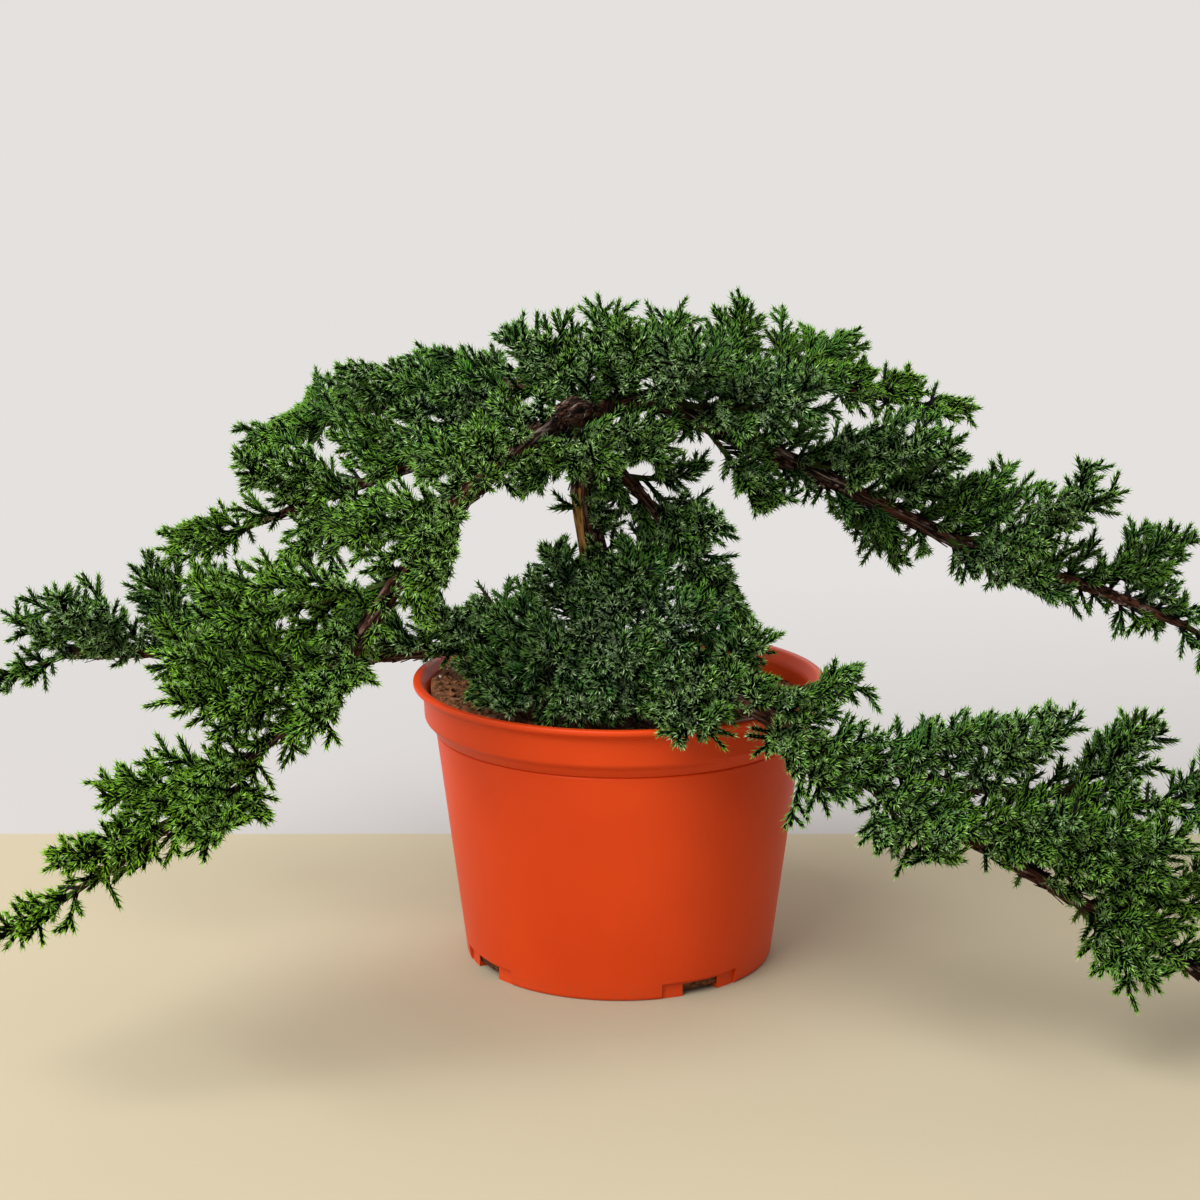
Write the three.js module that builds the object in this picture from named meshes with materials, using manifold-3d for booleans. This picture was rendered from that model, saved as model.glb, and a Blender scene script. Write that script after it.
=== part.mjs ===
// A creeping juniper trained as a bonsai, standing in a moulded plastic nursery pot.
// Millimetres, +Z up. The origin is on the pot's axis, on the surface that the pot stands on,
// and the tree's front faces -Y.
import * as THREE from 'three';
import { mergeVertices } from 'three/addons/utils/BufferGeometryUtils.js';
import Module from 'manifold-3d';

const wasm = await Module();
wasm.setup();

// Driving dimensions of the pot, the soil and the shoots
const GAP = 0.3; // left between pieces that lie against each other
const FLATNESS = 0.05; // how far a face may move where a joined solid is made simpler
const POT = {
  height: 114,
  lipRadius: 82.5,
  lipHeight: 2,
  lipWidth: 3.2,
  flareDrop: 4.2, // from the rim down to where the wall begins to turn outwards
  collarRadius: 78,
  collarHeight: 15.5, // from the rim down to the step under the collar
  collarChamfer: 1, // height of the chamfer along the collar's lower edge
  neckRadius: 73.6,
  neckDrop: 20.5, // from the rim down to where the plain tapered wall begins
  baseRadius: 62,
  wall: 1.7,
  edge: 0.6, // chamfer of the foot and the lip
  sides: 40,
};
const SLOT = {
  groups: 4,
  firstTurn: 31, // degrees from the front, towards +X
  width: 16,
  height: 5,
  reach: 13, // how far in from the wall's outside the floor is notched too
  recessWidth: 34,
  recessHeight: 6.5,
  recessDepth: 1,
};
const CUT_ROOM = 1; // how far a cutter stands out past what it cuts
const SOIL = {
  level: 106,
  tilt: 0.03, // how fast it rises towards the front left
  bump: 1.3, // how far its top rises and dips
  edgeDrop: 2, // from its level down to the last even ring at the wall
  sides: 28,
  rings: [0.97, 0.72, 0.46, 0.22], // of its top, as shares of its radius
};

// Shoots: where their whorls of needles and their plain bends stand, from root (0) to tip (1)
const MAIN_SHOOT = { radius: 1.4, tipRadius: 0.9, whorls: [0.52, 0.88], bends: [0.26, 0.7] };
const SIDE_SHOOT = { radius: 0.4, tipRadius: 0.9, whorls: [0.42, 0.8], bends: [] };
const SHORT_SHOOT = { radius: 0.4, tipRadius: 1, whorls: [0.66], bends: [], longest: 26 };
const ARCH = { reach: 0.42, grain: 0.14, sag: 0.06 }; // a main shoot's elbow, in its own lengths
const FORKS = {
  places: 20, // along a main shoot where a side shoot may leave
  everyNth: 4, // of the places that bears one
  start: 0.12, // share of the main shoot before the first place
  stretch: 0.82, // share of the main shoot that the places take up
  scatter: 0.6, // of the step between two places
  spread: 115, // degrees that they roll to either side of the top
  lean: 46, // degrees from the main shoot's heading
  leanScatter: 10,
  longest: 0.8, // a side shoot's length at the root, in main shoots
  taper: 0.5, // how much less at the tip
  lengthScatter: 0.3,
  shortest: 11,
  leastReach: 36,
};
const NEEDLE = { length: 4.8, root: 0.9, lean: 42 };
const GOLDEN_TURN = 137.5;
const STEEP = 0.9; // a heading that rises more than this share of its length has no plain top
const UP = new THREE.Vector3(0, 0, 1);
const SIDEWAYS = new THREE.Vector3(1, 0, 0);
const MAIN_RODS = 4; // straight rods that stand for a main shoot where clearances are tested

// The trunk, then every limb: the middle of its wood from root to tip, the wood's radius at both
// ends, and its sprays, each as how far along the limb it leaves (0 to 1) and where its tip stands.
const LIMBS = [
  {
    name: 'crown',
    radius: [6.4, 4.4],
    sides: 8,
    steps: 9,
    wood: [[-4, 2, 70], [-4, 2, 104], [-8, 0, 150], [-14, -3, 190], [-9, -2, 212], [-6, 0, 225]],
    sprays: [[1, -7, 6, 256]],
  },
  {
    name: 'front_left',
    radius: [4.4, 1.5],
    sides: 6,
    steps: 14,
    wood: [
      [-9, -2, 218], [-18, -16, 222], [-38, -50, 214], [-64, -86, 194], [-88, -106, 163],
      [-113, -118, 133], [-145, -130, 104], [-184, -143, 78],
    ],
    sprays: [
      [0.08, -12, -50, 208], [0.17, -71, -60, 211], [0.33, -99, -86, 188], [0.35, -62, -116, 176],
      [0.48, -150, -102, 167], [0.57, -104, -140, 132], [0.6, -159, -110, 148],
      [0.76, -138, -166, 98], [0.78, -180, -122, 102], [1, -218, -156, 60],
    ],
  },
  {
    name: 'mid_left',
    radius: [3.4, 1.4],
    sides: 6,
    steps: 9,
    wood: [[-8, 2, 214], [-46, 8, 208], [-96, 20, 191], [-146, 28, 171]],
    sprays: [[0.42, -111, 34, 204], [0.68, -148, 8, 195], [1, -181, 34, 162]],
  },
  {
    name: 'upper_left',
    radius: [3.4, 1.4],
    sides: 6,
    steps: 8,
    wood: [[-7, 4, 222], [-42, 28, 227], [-90, 50, 217], [-118, 60, 208]],
    sprays: [
      [0.08, -42, 10, 247], [0.32, -78, 62, 233], [0.5, -108, 32, 228], [0.86, -137, 90, 210],
      [1, -152, 62, 199],
    ],
  },
  {
    name: 'upper_right',
    radius: [4.2, 1.6],
    sides: 6,
    steps: 12,
    wood: [
      [-6, 2, 221], [16, 5, 224], [44, 8, 210], [76, 12, 195], [112, 16, 177], [146, 14, 161],
      [190, 8, 148], [226, 2, 134],
    ],
    sprays: [
      [0.07, 30, -30, 243], [0.12, 72, -28, 232], [0.17, 58, -10, 183], [0.34, 118, -12, 208],
      [0.54, 158, 32, 187], [0.6, 168, -16, 150], [0.62, 188, -8, 188], [0.84, 225, 22, 163],
      [1, 257, -6, 118],
    ],
  },
  {
    name: 'crest_right',
    radius: [3.2, 1.4],
    sides: 6,
    steps: 7,
    wood: [[6, 6, 222], [32, 22, 228], [74, 42, 226], [114, 54, 218]],
    sprays: [[0.1, 19, 38, 251], [0.3, 50, 50, 250], [0.54, 88, 78, 239], [1, 145, 62, 212]],
  },
  {
    name: 'lower_right',
    radius: [3.6, 2],
    sides: 6,
    steps: 13,
    wood: [
      [-2, 0, 113], [14, -28, 120], [32, -58, 122], [54, -80, 119.5], [88, -97, 100],
      [136, -108, 75], [182, -116, 50], [214, -122, 31],
    ],
    sprays: [
      [0.18, 52, -54, 140], [0.2, 25, -98, 118], [0.29, 86, -68, 134], [0.34, 73, -112, 100],
      [0.5, 112, -132, 80], [0.8, 184, -134, 37], [0.82, 212, -104, 62], [1, 248, -131, 22],
    ],
  },
  {
    name: 'right_fork',
    radius: [2.6, 1.4],
    sides: 6,
    steps: 7,
    wood: [[66, -87, 113], [92, -90, 104], [124, -95, 97], [160, -98, 94], [190, -104, 93]],
    sprays: [[0.2, 134, -90, 117], [0.46, 156, -110, 125], [0.76, 190, -96, 119], [1, 225, -108, 102]],
  },
  {
    name: 'lower_left',
    radius: [3.2, 1.5],
    sides: 6,
    steps: 10,
    wood: [
      [-5, 4, 113], [-30, 9, 118], [-62, 16, 121], [-94, 22, 117], [-130, 26, 112],
      [-172, 28, 116], [-226, 22, 117],
    ],
    sprays: [
      [0.1, -58, 36, 144], [0.17, -76, -6, 147], [0.58, -164, 10, 151], [0.73, -197, 48, 144],
      [0.86, -224, 0, 142], [1, -262, 18, 104],
    ],
  },
  {
    name: 'side_limb',
    radius: [3, 1.3],
    sides: 6,
    steps: 5,
    wood: [[-10, -2, 203], [4, -5, 193], [15, -8, 180], [24, -11, 166]],
    sprays: [[0.3, 32, 2, 198], [0.7, 42, -26, 180], [1, 46, -16, 138]],
  },
  {
    name: 'apron',
    radius: [3.4, 1.4],
    sides: 6,
    steps: 5,
    wood: [[-5, 0, 124], [-8, -14, 134], [-12, -28, 136], [-16, -38, 132]],
    sprays: [[0.3, -30, -6, 168], [0.45, 8, -34, 164], [0.7, -56, -32, 119], [1, -14, -70, 116]],
  },
];

// Finishes
const plastic = new THREE.MeshStandardMaterial({ color: 0xd8481f, roughness: 0.42, metalness: 0 });
const peat = new THREE.MeshStandardMaterial({ color: 0x3b2519, roughness: 0.95, metalness: 0 });
const bark = new THREE.MeshStandardMaterial({ color: 0x5a4033, roughness: 0.9, metalness: 0 });
const foliage = new THREE.MeshStandardMaterial({ color: 0x3c6e35, roughness: 0.6, metalness: 0 });

// Repeatable scatter: a number from 0 to 1 for each pair of counts, the same in every run.
function scatter(count, channel) {
  const wave = Math.sin(count * 12.9898 + channel * 78.233) * 43758.5453;
  return wave - Math.floor(wave);
}

// Solids

function solidOf(geometry) {
  const bare = geometry.clone();
  bare.deleteAttribute('normal');
  bare.deleteAttribute('uv');
  const welded = mergeVertices(bare);
  const corners = [];
  for (let i = 0; i < welded.index.count; i += 3) {
    const [a, b, c] = [0, 1, 2].map((k) => welded.index.getX(i + k));
    if (a !== b && b !== c && c !== a) corners.push(a, b, c);
  }
  const triVerts = new Uint32Array(corners);
  const vertProperties = welded.attributes.position.array;
  return new wasm.Manifold(new wasm.Mesh({ numProp: 3, vertProperties, triVerts }));
}

function meshOf(name, solid, material) {
  const { vertProperties, triVerts } = solid.getMesh();
  const geometry = new THREE.BufferGeometry();
  geometry.setAttribute('position', new THREE.BufferAttribute(vertProperties, 3));
  geometry.setIndex(new THREE.BufferAttribute(triVerts, 1));
  geometry.computeVertexNormals();
  const mesh = new THREE.Mesh(geometry, material);
  mesh.name = name;
  return mesh;
}

function joined(solids) {
  return solids.reduce((whole, part) => whole.add(part)).simplify(FLATNESS);
}

// A straight cylinder bent along a curve, with its root at the curve's start.
function taperedTube(curve, rootRadius, tipRadius, sides, steps) {
  const tube = new THREE.CylinderGeometry(tipRadius, rootRadius, 1, sides, steps);
  const frames = curve.computeFrenetFrames(steps, false);
  const spots = tube.attributes.position;
  const spot = new THREE.Vector3();
  for (let i = 0; i < spots.count; i++) {
    spot.fromBufferAttribute(spots, i);
    const ring = Math.round((spot.y + 0.5) * steps);
    const bent = curve.getPointAt(ring / steps)
      .addScaledVector(frames.binormals[ring], spot.x)
      .addScaledVector(frames.normals[ring], spot.z);
    spots.setXYZ(i, bent.x, bent.y, bent.z);
  }
  return solidOf(tube);
}

function turned(profile, sides) {
  const points = profile.map(([radius, height]) => new THREE.Vector2(radius, height));
  return new THREE.LatheGeometry(points, sides).rotateX(Math.PI / 2);
}

// Pot: a thin tapered wall with a collar and a flat lip, and drain slots at its foot

function innerRadiusAt(height) {
  const neck = POT.height - POT.neckDrop;
  const share = THREE.MathUtils.clamp((height - POT.wall) / (neck - POT.wall), 0, 1);
  return THREE.MathUtils.lerp(POT.baseRadius, POT.neckRadius, share) - POT.wall;
}

function potShell() {
  const { height, wall, edge, lipRadius, collarRadius, neckRadius, baseRadius } = POT;
  const neck = height - POT.neckDrop;
  const step = height - POT.collarHeight;
  const flare = height - POT.flareDrop;
  const outside = [
    [0, 0], [baseRadius - edge, 0], [baseRadius, edge], [neckRadius, neck],
    [collarRadius - edge, step - POT.collarChamfer], [collarRadius, step],
    [collarRadius + edge, flare], [lipRadius, height - POT.lipHeight],
    [lipRadius, height - edge], [lipRadius - edge, height],
  ];
  const inside = [
    [lipRadius - POT.lipWidth, height], [collarRadius - wall, flare],
    [collarRadius - wall - edge, step], [neckRadius - wall, neck], [baseRadius - wall, wall],
    [0, wall],
  ];
  return solidOf(turned([...outside, ...inside], POT.sides));
}

// One drain slot through the foot of the wall and the edge of the floor, in a shallow recess.
function slotCutter(turn) {
  const about = THREE.MathUtils.degToRad(turn);
  const front = POT.baseRadius + 2 * CUT_ROOM;
  const openBox = (width, reach, height) => solidOf(
    new THREE.BoxGeometry(width, reach, height + CUT_ROOM)
      .translate(0, reach / 2 - front, (height - CUT_ROOM) / 2)
      .rotateZ(about),
  );
  const [face, low, high] = [POT.baseRadius - SLOT.recessDepth, -CUT_ROOM, SLOT.recessHeight];
  const section = [[face, low], [front, low], [front, high], [face, high], [face, low]];
  const band = solidOf(turned(section, POT.sides));
  const recess = band.intersect(openBox(SLOT.recessWidth, SLOT.reach, high));
  return openBox(SLOT.width, SLOT.reach + 2 * CUT_ROOM, SLOT.height).add(recess);
}

function pot() {
  let shell = potShell();
  for (let group = 0; group < SLOT.groups; group++) {
    shell = shell.subtract(slotCutter(SLOT.firstTurn + (group * 360) / SLOT.groups));
  }
  return meshOf('pot', shell, plastic);
}

// Soil: fills the pot to a finger's width below its rim, with a dimpled top

function soilTop(x, y) {
  const swell = Math.sin(x * 0.11 + 1) * Math.cos(y * 0.09 - 0.6);
  const ripple = Math.sin(x * 0.31 - y * 0.23);
  const rise = (SOIL.tilt * -(x + y)) / Math.SQRT2;
  return SOIL.level + rise + SOIL.bump * (0.7 * swell + 0.3 * ripple);
}

function soil(trunk) {
  const bottom = POT.wall + GAP;
  const neck = POT.height - POT.neckDrop;
  const step = POT.height - POT.collarHeight;
  const rim = POT.collarRadius - POT.wall - POT.edge - GAP;
  const edge = SOIL.level - SOIL.edgeDrop;
  const profile = [
    [0, bottom], [innerRadiusAt(bottom) - 2 * GAP, bottom], [innerRadiusAt(neck) - GAP, neck],
    [rim, step], [rim, edge],
    ...SOIL.rings.map((share) => [rim * share, SOIL.level]), [0, SOIL.level],
  ];
  const heap = turned(profile, SOIL.sides);
  const spots = heap.attributes.position;
  for (let i = 0; i < spots.count; i++) {
    if (spots.getZ(i) > edge + GAP) spots.setZ(i, soilTop(spots.getX(i), spots.getY(i)));
  }
  const [x, y, foot] = trunk.wood[0];
  const drill = new THREE.LineCurve3(
    new THREE.Vector3(x, y, foot - GAP), new THREE.Vector3(x, y, POT.height),
  );
  const holeRadius = trunk.radius[0] + 3 * GAP;
  const hole = taperedTube(drill, holeRadius, holeRadius, trunk.sides + 2, 1);
  return meshOf('soil', solidOf(heap).subtract(hole), peat);
}

// Clearance between nodes, each held as round-ended rods

const rods = [];

function claim(owner, from, to, radius) {
  rods.push({ owner, from, to, radius });
}

// The shortest distance between two straight segments.
function distanceBetween(a, b, c, d) {
  const u = new THREE.Vector3().subVectors(b, a);
  const v = new THREE.Vector3().subVectors(d, c);
  const w = new THREE.Vector3().subVectors(a, c);
  const [uu, uv, vv, uw, vw] = [u.dot(u), u.dot(v), v.dot(v), u.dot(w), v.dot(w)];
  const spread = uu * vv - uv * uv;
  const { clamp } = THREE.MathUtils;
  let s = spread > 1e-9 ? clamp((uv * vw - vv * uw) / spread, 0, 1) : 0;
  const t = clamp((uv * s + vw) / vv, 0, 1);
  s = clamp((uv * t - uw) / uu, 0, 1);
  return w.addScaledVector(u, s).addScaledVector(v, -t).length();
}

function meetsPot(from, to, radius) {
  const room = radius + GAP;
  return [0, 0.25, 0.5, 0.75, 1].some((share) => {
    const spot = new THREE.Vector3().lerpVectors(from, to, share);
    const out = Math.hypot(spot.x, spot.y);
    if (spot.z < room) return true;
    if (out > POT.lipRadius + room || spot.z > POT.height + room) return false;
    const clearOfWall = out < innerRadiusAt(POT.height) - room;
    return !clearOfWall || spot.z < soilTop(spot.x, spot.y) + room + 2 * GAP;
  });
}

// Whether a rod is clear of all but those whose owner's name starts with the given one.
function isClear(owner, from, to, radius) {
  if (meetsPot(from, to, radius)) return false;
  return rods.every((rod) => rod.owner.startsWith(owner)
    || distanceBetween(from, to, rod.from, rod.to) > radius + rod.radius + GAP);
}

// Growth: a spray is one main shoot from a limb, with side shoots forking off it

function limbCurve(limb) {
  const points = limb.wood.map((spot) => new THREE.Vector3(...spot));
  return new THREE.CatmullRomCurve3(points, false, 'catmullrom', 0.5);
}

function limbRadius(limb, along) {
  return THREE.MathUtils.lerp(limb.radius[0], limb.radius[1], along);
}

// Leaves just clear of the bark, low along the limb, then turns towards its tip.
function mainShoot(limb, [along, ...place]) {
  const foot = limb.curve.getPointAt(along);
  const grain = limb.curve.getTangentAt(along);
  const tip = new THREE.Vector3(...place);
  const reach = new THREE.Vector3().subVectors(tip, foot);
  const outward = reach.clone().addScaledVector(grain, -reach.dot(grain)).normalize();
  const leaving = along === 1 ? grain : outward;
  const bareWood = along === 1 ? 0 : limbRadius(limb, along);
  const root = foot.clone().addScaledVector(leaving, bareWood + GAP + MAIN_SHOOT.radius);
  const elbow = root.clone().addScaledVector(reach, ARCH.reach)
    .addScaledVector(grain, ARCH.grain * reach.length())
    .addScaledVector(UP, -ARCH.sag * reach.length());
  return new THREE.QuadraticBezierCurve3(root, elbow, tip);
}

// A direction to measure a heading's roll from.
function topOf(heading) {
  return Math.abs(heading.z) < STEEP ? UP : SIDEWAYS;
}

// Two directions square to a heading, the first as near as it can be to a reference.
function squareTo(heading, reference) {
  const lift = reference.clone().addScaledVector(heading, -reference.dot(heading)).normalize();
  return [lift, new THREE.Vector3().crossVectors(heading, lift)];
}

// The side shoot at one of a main shoot's places, counted from its root.
function sideShoot(main, spray, place, extraRoll, stretch) {
  const count = spray * FORKS.places + place;
  const step = (place + FORKS.scatter * scatter(count, 1)) / FORKS.places;
  const along = FORKS.start + FORKS.stretch * step;
  const heading = main.getTangent(along);
  const [lift, across] = squareTo(heading, topOf(heading));
  const roll = FORKS.spread * Math.sin(THREE.MathUtils.degToRad(GOLDEN_TURN * count)) + extraRoll;
  const lean = FORKS.lean + FORKS.leanScatter * (scatter(count, 2) - 0.5);
  const [leanAngle, rollAngle] = [lean, roll].map(THREE.MathUtils.degToRad);
  const reach = Math.max(main.v0.distanceTo(main.v2), FORKS.leastReach);
  const change = 1 + FORKS.lengthScatter * (scatter(count, 3) - 0.5);
  const length = Math.max(reach * (FORKS.longest - FORKS.taper * along) * change, FORKS.shortest) * stretch;
  const from = main.getPoint(along);
  const to = from.clone().addScaledVector(heading, length * Math.cos(leanAngle))
    .addScaledVector(lift, length * Math.sin(leanAngle) * Math.cos(rollAngle))
    .addScaledVector(across, length * Math.sin(leanAngle) * Math.sin(rollAngle));
  return new THREE.LineCurve3(from, to);
}

// What is tried in turn until a piece stands clear of the other nodes: a side shoot rolls
// further round, then is shorter too, and a needle leans less or more, then is shorter.
const SHOOT_TRIES = [
  [0, 1], [35, 1], [-35, 1], [70, 1], [-70, 1], [0, 0.65], [50, 0.65], [-50, 0.65], [110, 0.65],
];
const NEEDLE_TRIES = [[0, 1], [-16, 1], [14, 1], [-26, 1], [0, 0.7], [-20, 0.7]];

// Where a needle's tip stands over the middle of the face that it is raised from.
function needleTip(shoot, face, middle, heading) {
  const foot = face.reduce((sum, corner) => sum.add(corner), new THREE.Vector3()).divideScalar(4);
  const outward = new THREE.Vector3().subVectors(foot, middle).normalize();
  const tips = NEEDLE_TRIES.map(([moreLean, stretch]) => {
    const lean = THREE.MathUtils.degToRad(NEEDLE.lean + moreLean);
    return foot.clone().addScaledVector(heading, NEEDLE.length * stretch * Math.cos(lean))
      .addScaledVector(outward, NEEDLE.length * stretch * Math.sin(lean));
  });
  const tip = tips.find((spot) => isClear(shoot, foot, spot, NEEDLE.root / 2));
  if (tip) claim(shoot, foot, tip, NEEDLE.root / 2);
  return tip;
}

// A three-sided shoot along a curve, ending in a point, with whorls of three needles raised
// from its faces. Each whorl is turned by half a face from the one before.
function needledShoot(shoot, curve, { radius, tipRadius, whorls, bends }) {
  const half = NEEDLE.root / 2 / curve.getLength();
  const starts = whorls.map((share) => share - half);
  const ends = whorls.map((share) => share + half);
  const stations = [0, ...starts, ...ends, ...bends].sort((a, b) => a - b);
  const reference = topOf(curve.getTangentAt(0.5));
  const spots = stations.flatMap((share) => {
    const [lift, across] = squareTo(curve.getTangentAt(share), reference);
    const girth = THREE.MathUtils.lerp(radius, tipRadius, share);
    const whorl = starts.filter((start) => start <= share).length;
    return [0, 2, 4].map((corner) => {
      const turn = ((corner + whorl) * Math.PI) / 3;
      return curve.getPointAt(share).addScaledVector(lift, girth * Math.cos(turn))
        .addScaledVector(across, girth * Math.sin(turn));
    });
  });
  const last = spots.length - 3;
  const apex = spots.push(curve.getPointAt(1)) - 1;
  const faces = [[0, 2, 1]];
  for (const corner of [0, 1, 2]) {
    const next = (corner + 1) % 3;
    faces.push([last + corner, last + next, apex]);
    for (let ring = 0; ring + 1 < stations.length; ring++) {
      const [a, b] = [3 * ring + corner, 3 * ring + next];
      const [c, d] = [b + 3, a + 3];
      const middle = curve.getPointAt((stations[ring] + stations[ring + 1]) / 2);
      const tip = starts.includes(stations[ring]) && needleTip(
        shoot, [a, b, c, d].map((spot) => spots[spot]), middle, curve.getTangentAt(stations[ring]),
      );
      if (tip) {
        const point = spots.push(tip) - 1;
        faces.push([a, b, point], [b, c, point], [c, d, point], [d, a, point]);
      } else {
        faces.push([a, b, d], [b, c, d]);
      }
    }
  }
  const geometry = new THREE.BufferGeometry().setFromPoints(spots);
  geometry.setIndex(faces.flat());
  return solidOf(geometry);
}

// All main shoots take their room first, then the side shoots place by place, then the needles.
function growSprays(limbs) {
  const sprays = limbs.flatMap((limb) => limb.sprays.map((row, order) => ({
    node: `${limb.name}_spray_${String(order + 1).padStart(2, '0')}`,
    main: mainShoot(limb, row),
    sides: [],
  })));
  for (const { node, main } of sprays) {
    const bends = main.getSpacedPoints(MAIN_RODS);
    bends.slice(1).forEach((bend, i) => claim(`${node}.main`, bends[i], bend, MAIN_SHOOT.radius));
  }
  for (let place = 1; place < FORKS.places; place += FORKS.everyNth) {
    sprays.forEach(({ node, main, sides }, order) => {
      const side = SHOOT_TRIES.map((change) => sideShoot(main, order, place, ...change))
        .find(({ v1, v2 }) => isClear(node, v1, v2, SIDE_SHOOT.radius));
      if (!side) return;
      sides.push(side);
      claim(`${node}.side${sides.length}`, side.v1, side.v2, SIDE_SHOOT.radius);
    });
  }
  return sprays.map(({ node, main, sides }) => meshOf(node, joined([
    needledShoot(`${node}.main`, main, MAIN_SHOOT),
    ...sides.map((side, order) => needledShoot(
      `${node}.side${order + 1}`,
      side,
      side.getLength() > SHORT_SHOOT.longest ? SIDE_SHOOT : SHORT_SHOOT,
    )),
  ]), foliage));
}

// Wood: the trunk and every limb, grown as one piece
function wood(limbs) {
  const tubes = limbs.map((limb) => {
    const { curve, radius, sides, steps } = limb;
    const bends = curve.getSpacedPoints(steps);
    bends.slice(1).forEach((bend, i) => claim('trunk', bends[i], bend, limbRadius(limb, i / steps)));
    return taperedTube(curve, ...radius, sides, steps);
  });
  return meshOf('trunk', joined(tubes), bark);
}

const limbs = LIMBS.map((limb) => ({ ...limb, curve: limbCurve(limb) }));
const bonsai = new THREE.Group();
bonsai.add(pot(), soil(limbs[0]), wood(limbs), ...growSprays(limbs));

export default bonsai;
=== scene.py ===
"""Looks of a creeping juniper grown as a bonsai in its moulded nursery pot.

Everything is in metres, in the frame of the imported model: +Z up, the origin on the pot's axis
where it stands, and the tree's front facing -Y. Sizes with MM are millimetres.
"""

import logging
import math
import random
from bisect import bisect_left
from dataclasses import dataclass, field
from enum import Enum
from itertools import chain
from typing import Iterator, Sequence

import bmesh
import bpy
from mathutils import Matrix, Vector, noise
from mathutils.geometry import interpolate_bezier, intersect_point_line


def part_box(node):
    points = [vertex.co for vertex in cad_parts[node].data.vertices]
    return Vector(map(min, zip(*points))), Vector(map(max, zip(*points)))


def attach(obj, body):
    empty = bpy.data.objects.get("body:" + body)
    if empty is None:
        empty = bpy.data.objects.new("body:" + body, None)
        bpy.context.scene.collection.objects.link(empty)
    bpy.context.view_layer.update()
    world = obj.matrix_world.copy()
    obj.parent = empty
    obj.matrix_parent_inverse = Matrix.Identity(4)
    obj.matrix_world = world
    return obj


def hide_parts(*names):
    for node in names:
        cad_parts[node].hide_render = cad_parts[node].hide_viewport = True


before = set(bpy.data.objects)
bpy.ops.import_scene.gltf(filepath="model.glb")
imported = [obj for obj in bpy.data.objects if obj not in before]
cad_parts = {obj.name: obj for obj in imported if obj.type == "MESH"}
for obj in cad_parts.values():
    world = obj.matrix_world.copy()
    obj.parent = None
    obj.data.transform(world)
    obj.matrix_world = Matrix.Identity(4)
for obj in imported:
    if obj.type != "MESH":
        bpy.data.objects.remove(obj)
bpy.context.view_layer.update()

MM = 0.001
UP = Vector((0, 0, 1))
SIDEWAYS = Vector((1, 0, 0))
GOLDEN_TURN = math.radians(137.5)
GOLDEN_SHARE = 0.618
NOISE_SEED = 5
BODY = "root"

# The numbers that foliage holds for each corner and each face, and wood for each corner
SPREAD = "spread"
INNER, TIP, TONE_AND_SHADE, YOUTH = "inner", "tip", "tone", "youth"
GRAIN, PEEL = "grain", "peel"

log = logging.getLogger("bonsai")


def linear(colour: str) -> tuple[float, float, float, float]:
    """Turns an sRGB hex colour into a linear one with full alpha.

    Args:
        colour: Six hex digits, such as "d8481f".

    Returns:
        Red, green, blue and alpha, from 0 to 1.
    """
    shares = [int(colour[i:i + 2], 16) / 255 for i in (0, 2, 4)]
    light = [s / 12.92 if s <= 0.04045 else ((s + 0.055) / 1.055) ** 2.4 for s in shares]
    return (*light, 1.0)


class Trait(Enum):
    """What a repeatable number is for, so that no two traits of a shoot go together."""

    SIDE_PLACE = 1
    SIDE_LEAN = 2
    SIDE_LENGTH = 3
    TWIG_PLACE = 4
    TWIG_LEAN = 5
    TWIG_LENGTH = 6
    SPRAY_TONE = 7
    SIDE_TONE = 8
    SIDE_YOUTH = 9


def scatter(count: float, trait: Trait) -> float:
    """A repeatable number from 0 to 1 for a shoot's count and trait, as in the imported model."""
    wave = math.sin(count * 12.9898 + trait.value * 78.233) * 43758.5453
    return wave - math.floor(wave)


def varied(middle: float, span: float, count: float, trait: Trait) -> float:
    """A repeatable number that lies within half a span of its middle."""
    return middle + span * (scatter(count, trait) - 0.5)


# Lines that wood and shoots follow


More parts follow.
